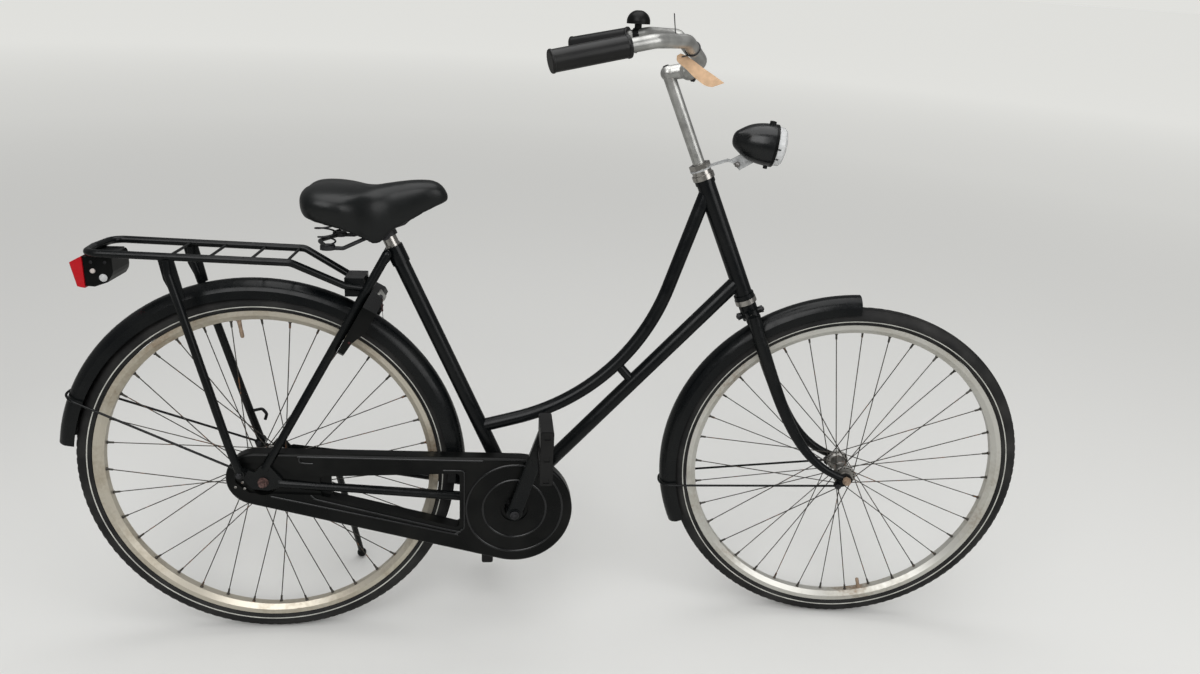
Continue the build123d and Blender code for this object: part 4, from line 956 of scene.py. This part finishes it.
TIE_LOOP_RADIUS = 0.0122
tie_middle = mm(752, -128, 1160)
_, tie_side, tie_up = square_to(mm(-28, -58, 32))
tie_tail = [
    mm(744, -119, 1163), mm(730, -117, 1170), mm(723.6, -120, 1180), mm(720.5, -120, 1198),
    mm(718.6, -120, 1212),
]
bm = bmesh.new()
loop = []
for step in range(25):
    angle = 2 * math.pi * step / 24
    loop.append(tie_middle + (tie_side * math.cos(angle) + tie_up * math.sin(angle)) * TIE_LOOP_RADIUS)
wire(bm, loop, 0.0013, 6, 2, 0.8)
wire(bm, tie_tail, 0.0013, 6, 5, 0.5)
wire(bm, [mm(747, -130, 1150), mm(740, -133, 1148.5), mm(735, -132.5, 1147)], 0.0011, 6, 4, 0.8)
spin(bm, mm(746, -119, 1161), (-0.5, 0.1, 0.85), [(0, 0), (0, 0.0032), (0.005, 0.0032), (0.005, 0)], 4)
settle("cable_tie", bm, "steering", BLACK_WIRE)

# %% [markdown]
# ## Nuts, bolts and screws
# A bolted joint looks unfinished without its bolt.  The fasteners sit on the eyes of the stays,
# the seat clamp, the chaincase tail, the fork crown, the stem and the bar clamp.  In these
# steps, those that share a finish and a moving body are one mesh, since they never part.

# %% Fasteners on the frame
bm = bmesh.new()
for side in (-1, 1):
    nut(bm, mm(-36, side * 82, 374), (0, side, 0), 0.010, 0.004)
    nut(bm, mm(-36, side * 57.4, 374), (0, -side, 0), 0.010, 0.003)
SEAT_ANGLE = math.radians(65.7)
seat_top = mm(240.1, 0, 790.4)
seat_rise = Vector((-math.cos(SEAT_ANGLE), 0, math.sin(SEAT_ANGLE)))
binder = seat_top - seat_rise * 0.014 + Vector((-0.0165, 0, -0.0075))
binder_half = Vector((0, 0.021, 0))
spin(bm, binder - binder_half, (0, 1, 0), [(0, 0), (0, 0.0062), (0.042, 0.0062), (0.042, 0)], 20)
nut(bm, binder - binder_half, (0, -1, 0), 0.013, 0.006)
nut(bm, binder + binder_half, (0, 1, 0), 0.013, 0.006)
settle("frame_nuts", bm, "frame", BLACK_WIRE)

bm = bmesh.new()
for x, z in ((-50.3, 340.1), (-37.1, 350.1), (-34.3, 337.1)):
    screw(bm, mm(x, -61.9, z), (0, -1, 0), 0.0026, 0.0014)
settle("case_screws", bm, "frame", HUB_STEEL)

# %% [markdown]
# ## Pressed beads of the chaincase
# A pressed bead is read by the thin highlight along its back.  A bevel on the solid's ribs
# would give one too, but the solid stays as it is, so a rounded back is laid over the case:
# two turned rings round the crank and three runs of partly sunk wire.

# %% Chaincase beads
CRANK_X = 466
CRANK_Z = 290
CASE_FACE = -62.0
bead_back = [(0.0005, -2.4), (0.0016, -1.6), (0.0023, 0), (0.0016, 1.6), (0.0005, 2.4)]
bm = bmesh.new()
for radius in (92.5, 61.0):
    back = [(rise, (radius + aside) / 1000) for rise, aside in bead_back]
    spin(bm, mm(CRANK_X, CASE_FACE, CRANK_Z), (0, -1, 0), back, 120)
runs = [
    [(92, 388), (78, 388.6), (69, 390.5), (66.5, 396), (69, 400.5), (80, 401.4), (240, 396.7), (405, 392)],
    [(12, 321), (180, 279.2), (345, 238.3), (352, 237.6), (360, 240)],
    [(84, 323), (92, 315.5), (100, 312), (226, 277), (350, 243.5), (362, 244.8), (369, 250), (370, 262),
     (370, 310), (370, 362), (368, 370), (360, 372.3), (330, 373)],
]
for run in runs:
    wire(bm, [mm(x, CASE_FACE - 0.6, z) for x, z in run], 0.0021, 8, 5)
settle("case_beads", bm, "frame", BEAD, 50)

# %% [markdown]
# ## Crank caps
# A dust cap closes each end of the crank's spindle.  It is turned in one go, with a raised
# lip and a shallow dish inside it.

# %% Crank caps
crank_cap = [
    (0, 0.0085), (0.0012, 0.0085), (0.0016, 0.0078), (0.0016, 0.0062),
    (0.0006, 0.0058), (0.0006, 0.003), (0.0014, 0.0026), (0.0014, 0),
]
bm = bmesh.new()
for side in (-1, 1):
    spin(bm, mm(CRANK_X, side * 87.9, CRANK_Z), (0, side, 0), crank_cap, 32)
settle("crank_caps", bm, "crank", BLACK_WIRE)

# %% [markdown]
# ## Fasteners that turn with the bar
# The same nuts and screws go on the parts that steer.  They are a mesh of their own, because
# a mesh can ride on one moving body only.

# %% Fasteners on the steering
bm = bmesh.new()
for side in (-1, 1):
    nut(bm, mm(1121, side * 56.3, 338), (0, side, 0), 0.010, 0.004)
crown = head_axis(0.676)
across = Vector((head_direction.z, 0, -head_direction.x))
nut(bm, crown + across * 0.0214, across, 0.013, 0.005)
nut(bm, crown - across * 0.0204, -across, 0.013, 0.005)
stem_top = head_axis(1.112)
screw(bm, stem_top + head_direction * 0.0128, head_direction, 0.0055, 0.0012)
clamp = mm(756, 0, 1119)
nut(bm, clamp + mm(9, 0, -13), (0.5, 0, -0.86), 0.010, 0.005)
settle("steering_nuts", bm, "steering", BLACK_WIRE)

# %% [markdown]
# ## Axle washers
# The rear axle's nuts press on plain washers, which rust first where the nut has cut their
# plating.  A washer is a ring turned from four corners.

# %% Axle nut washers
washer = [(0, 0.0055), (0, 0.0098), (0.0014, 0.0098), (0.0014, 0.0055)]
bm = bmesh.new()
for side in (-1, 1):
    spin(bm, mm(0, side * 62.6, 350), (0, side, 0), washer, 32)
settle("rear_washers", bm, "frame", RUSTY)

# %% [markdown]
# ## Ring lock
# The lock's moulding is in the solid model.  A grey cap closes its top corner, a dark red fob
# hangs from the key's ring, and a small red button shows on the lower horn.  The cap and the
# key's seat are placed in the lock's own directions, up along the stays and outwards, because
# the lock slopes with them; the fob hangs plumb and needs no such help.

# %% Lock cap, key and button
LOCK_UP = Vector((0.4908, 0, 0.8713))
LOCK_OUT = Vector((LOCK_UP.z, 0, -LOCK_UP.x))
lock_zero = mm(174.08, 0, 678.06)


def on_lock(out, up, y):
    """Point on the lock: outwards from the stays, up along them, and to the side."""
    return lock_zero + LOCK_OUT * (out / 1000) + LOCK_UP * (up / 1000) + Vector((0, y / 1000, 0))


bm = bmesh.new()
cap_side = -33.4
outline = [on_lock(out, up, cap_side) for out, up in ((20, 46.3), (34.5, 38.8), (36.2, 41.6), (21.7, 49))]
slab(bm, outline, (0, 0.030, 0))
settle("lock_cap", bm, "frame", CAP_GREY)

bm = bmesh.new()
key_seat = on_lock(27, 44.5, -33)
spin(bm, key_seat, (0, -1, 0), [(0, 0), (0, 0.0042), (0.002, 0.0042), (0.0024, 0.003), (0.0024, 0)], 20)
key_ring = []
for k in range(13):
    angle = k * math.pi / 6
    key_ring.append(key_seat + mm(1.2 + 3.2 * math.cos(angle), -2.4, -3.2 + 3.2 * math.sin(angle)))
wire(bm, key_ring, 0.0005, 6, 2)
fob_top = mm(221.4, -36, 699.7)
fob_foot = mm(222.0, -36, 677.2)
wire(bm, [key_seat + mm(1.6, -2.4, -6.2), fob_top], 0.0005, 6, 2)
wire(bm, [fob_foot, mm(222.8, -36, 668), mm(223.3, -36, 660.3)], 0.0005, 6, 4)
settle("lock_key", bm, "frame", BLACK_WIRE)
bm = bmesh.new()
wire(bm, [fob_top, (fob_top + fob_foot) / 2 + mm(-0.2, 0, 0), fob_foot], 0.0023, 10, 4, 0.6)
settle("key_fob", bm, "frame", FOB)
bm = bmesh.new()
screw(bm, mm(165.5, -60.2, 624.2), (0, -1, 0), 0.0023, 0.0016)
settle("lock_button", bm, "frame", RED_DOT)

# %% [markdown]
# ## Grips
# The grips are smooth sleeves: their end flanges are all that the solids lack.  One flange
# faces the bar's bend and one its end, and the left pair mirrors the right.

# %% Grip ends
grip_line = Vector((-0.152, -0.057, -0.034)).normalized()
end = GRIP_END + grip_line * 0.004
front = GRIP_END - grip_line * 0.122
front_flange = [(-0.0004, 0.0125), (-0.0004, 0.0178), (0.003, 0.0184), (0.005, 0.0176), (0.005, 0.0168)]
end_flange = [(0, 0.0169), (0.0005, 0.0180), (0.003, 0.0180), (0.0042, 0.0172), (0.0044, 0.0165)]
bm = bmesh.new()
for side in (-1, 1):
    start = Vector((front.x, front.y * -side, front.z))
    stop = Vector((end.x, end.y * -side, end.z))
    line = (stop - start).normalized()
    spin(bm, start, line, front_flange, 40)
    spin(bm, stop - line * 0.0045, line, end_flange, 40)
settle("grip_rings", bm, "steering", GRIP)

# %% [markdown]
# ## Floor and light
# The bicycle stands on a plain pale floor.  It is flat and has no wall behind it, so that it
# hides nothing when the bicycle is looked at from another side; the far floor and the sky are
# painted paler for the eye alone, and that extra paleness lights nothing.  Soft area lamps
# above and in front keep the black paint readable by its highlights.

# %% Floor
FLOOR_REACH = 80
HAZE_REACH = 12.0
FLOOR_COLOUR = (0.74, 0.74, 0.72)


def pale_floor():
    """A round sheet that fades into a pale distance."""
    bm = bmesh.new()
    turns = [2 * math.pi * k / 64 for k in range(64)]
    edge = [(FLOOR_REACH * math.cos(turn), FLOOR_REACH * math.sin(turn), 0) for turn in turns]
    bm.faces.new([bm.verts.new(point) for point in edge])
    mesh = bpy.data.meshes.new("floor")
    bm.to_mesh(mesh)
    bm.free()
    floor = bpy.data.objects.new("floor", mesh)
    bpy.context.scene.collection.objects.link(floor)
    material, n, links, shader = new_finish("floor", FLOOR_COLOUR, 0.6)
    # glossy things see a darker room than the eye does, so black stays black
    path = n.new("ShaderNodeLightPath")
    mirrored = (0.36, 0.36, 0.345)
    room = ramp(n, links, path.outputs["Is Glossy Ray"], [(0.0, FLOOR_COLOUR), (1.0, mirrored)])
    links.new(room, shader.inputs["Base Color"])
    away = n.new("ShaderNodeVectorMath")
    away.operation = "LENGTH"
    links.new(n.new("ShaderNodeTexCoord").outputs["Object"], away.inputs[0])
    share = n.new("ShaderNodeMath")
    share.operation = "DIVIDE"
    share.inputs[1].default_value = HAZE_REACH
    links.new(away.outputs["Value"], share.inputs[0])
    pale = [(0.12, grey(0.0)), (0.5, (0.28, 0.28, 0.267)), (0.9, (0.44, 0.44, 0.42))]
    links.new(ramp(n, links, share.outputs[0], pale), shader.inputs["Emission Color"])
    links.new(path.outputs["Is Camera Ray"], shader.inputs["Emission Strength"])
    mesh.materials.append(material)


pale_floor()


# %% Lamps
def soft_lamp(name, place, aim, size, power):
    """A square area lamp that looks at a point."""
    data = bpy.data.lights.new(name, "AREA")
    data.shape = "SQUARE"
    data.size = size
    data.energy = power
    lamp = bpy.data.objects.new(name, data)
    lamp.location = place
    lamp.rotation_euler = (Vector(aim) - Vector(place)).to_track_quat("-Z", "Y").to_euler()
    bpy.context.scene.collection.objects.link(lamp)
    print("lamp:", name, "at", power, "W")


soft_lamp("key", (-0.6, -2.6, 3.0), (0.5, 0, 0.6), 2.6, 60)
soft_lamp("fill", (2.8, -2.2, 2.0), (0.6, 0, 0.5), 2.2, 30)
soft_lamp("top", (0.5, 0.3, 3.4), (0.5, 0.1, 0.0), 2.8, 45)

# %% Sky
world = bpy.data.worlds.new("studio")
world.use_nodes = True
n, links = world.node_tree.nodes, world.node_tree.links
sky = n["Background"]
sky.inputs["Strength"].default_value = 0.45
path = n.new("ShaderNodeLightPath")
eye = n.new("ShaderNodeMix")
eye.data_type = "RGBA"
eye.inputs["B"].default_value = (1.68, 1.68, 1.62, 1)
links.new(path.outputs["Is Camera Ray"], eye.inputs["Factor"])
room = ramp(n, links, path.outputs["Is Glossy Ray"], [(0.0, grey(1.0)), (1.0, grey(0.4))])
links.new(room, eye.inputs["A"])
links.new(eye.outputs["Result"], sky.inputs["Color"])
bpy.context.scene.world = world
bpy.context.scene.view_settings.view_transform = "Standard"
print("sky strength:", round(sky.inputs["Strength"].default_value, 2))

# %% [markdown]
# ## Camera
# The camera stands on the right, just higher than the bicycle, and looks down at it.
# Its place, turn and lens are typed rather than aimed, so that the view is the same each run.

# %% Camera
camera_data = bpy.data.cameras.new("camera")
camera_data.lens = 26.31
camera_data.sensor_width = 36.0
camera = bpy.data.objects.new("camera", camera_data)
camera.location = (0.4293, -1.4661, 1.2882)
camera.rotation_euler = [math.radians(a) for a in (66.516, -3.398, -5.781)]
bpy.context.scene.collection.objects.link(camera)
bpy.context.scene.camera = camera
print("camera lens, mm:", round(camera_data.lens, 2))
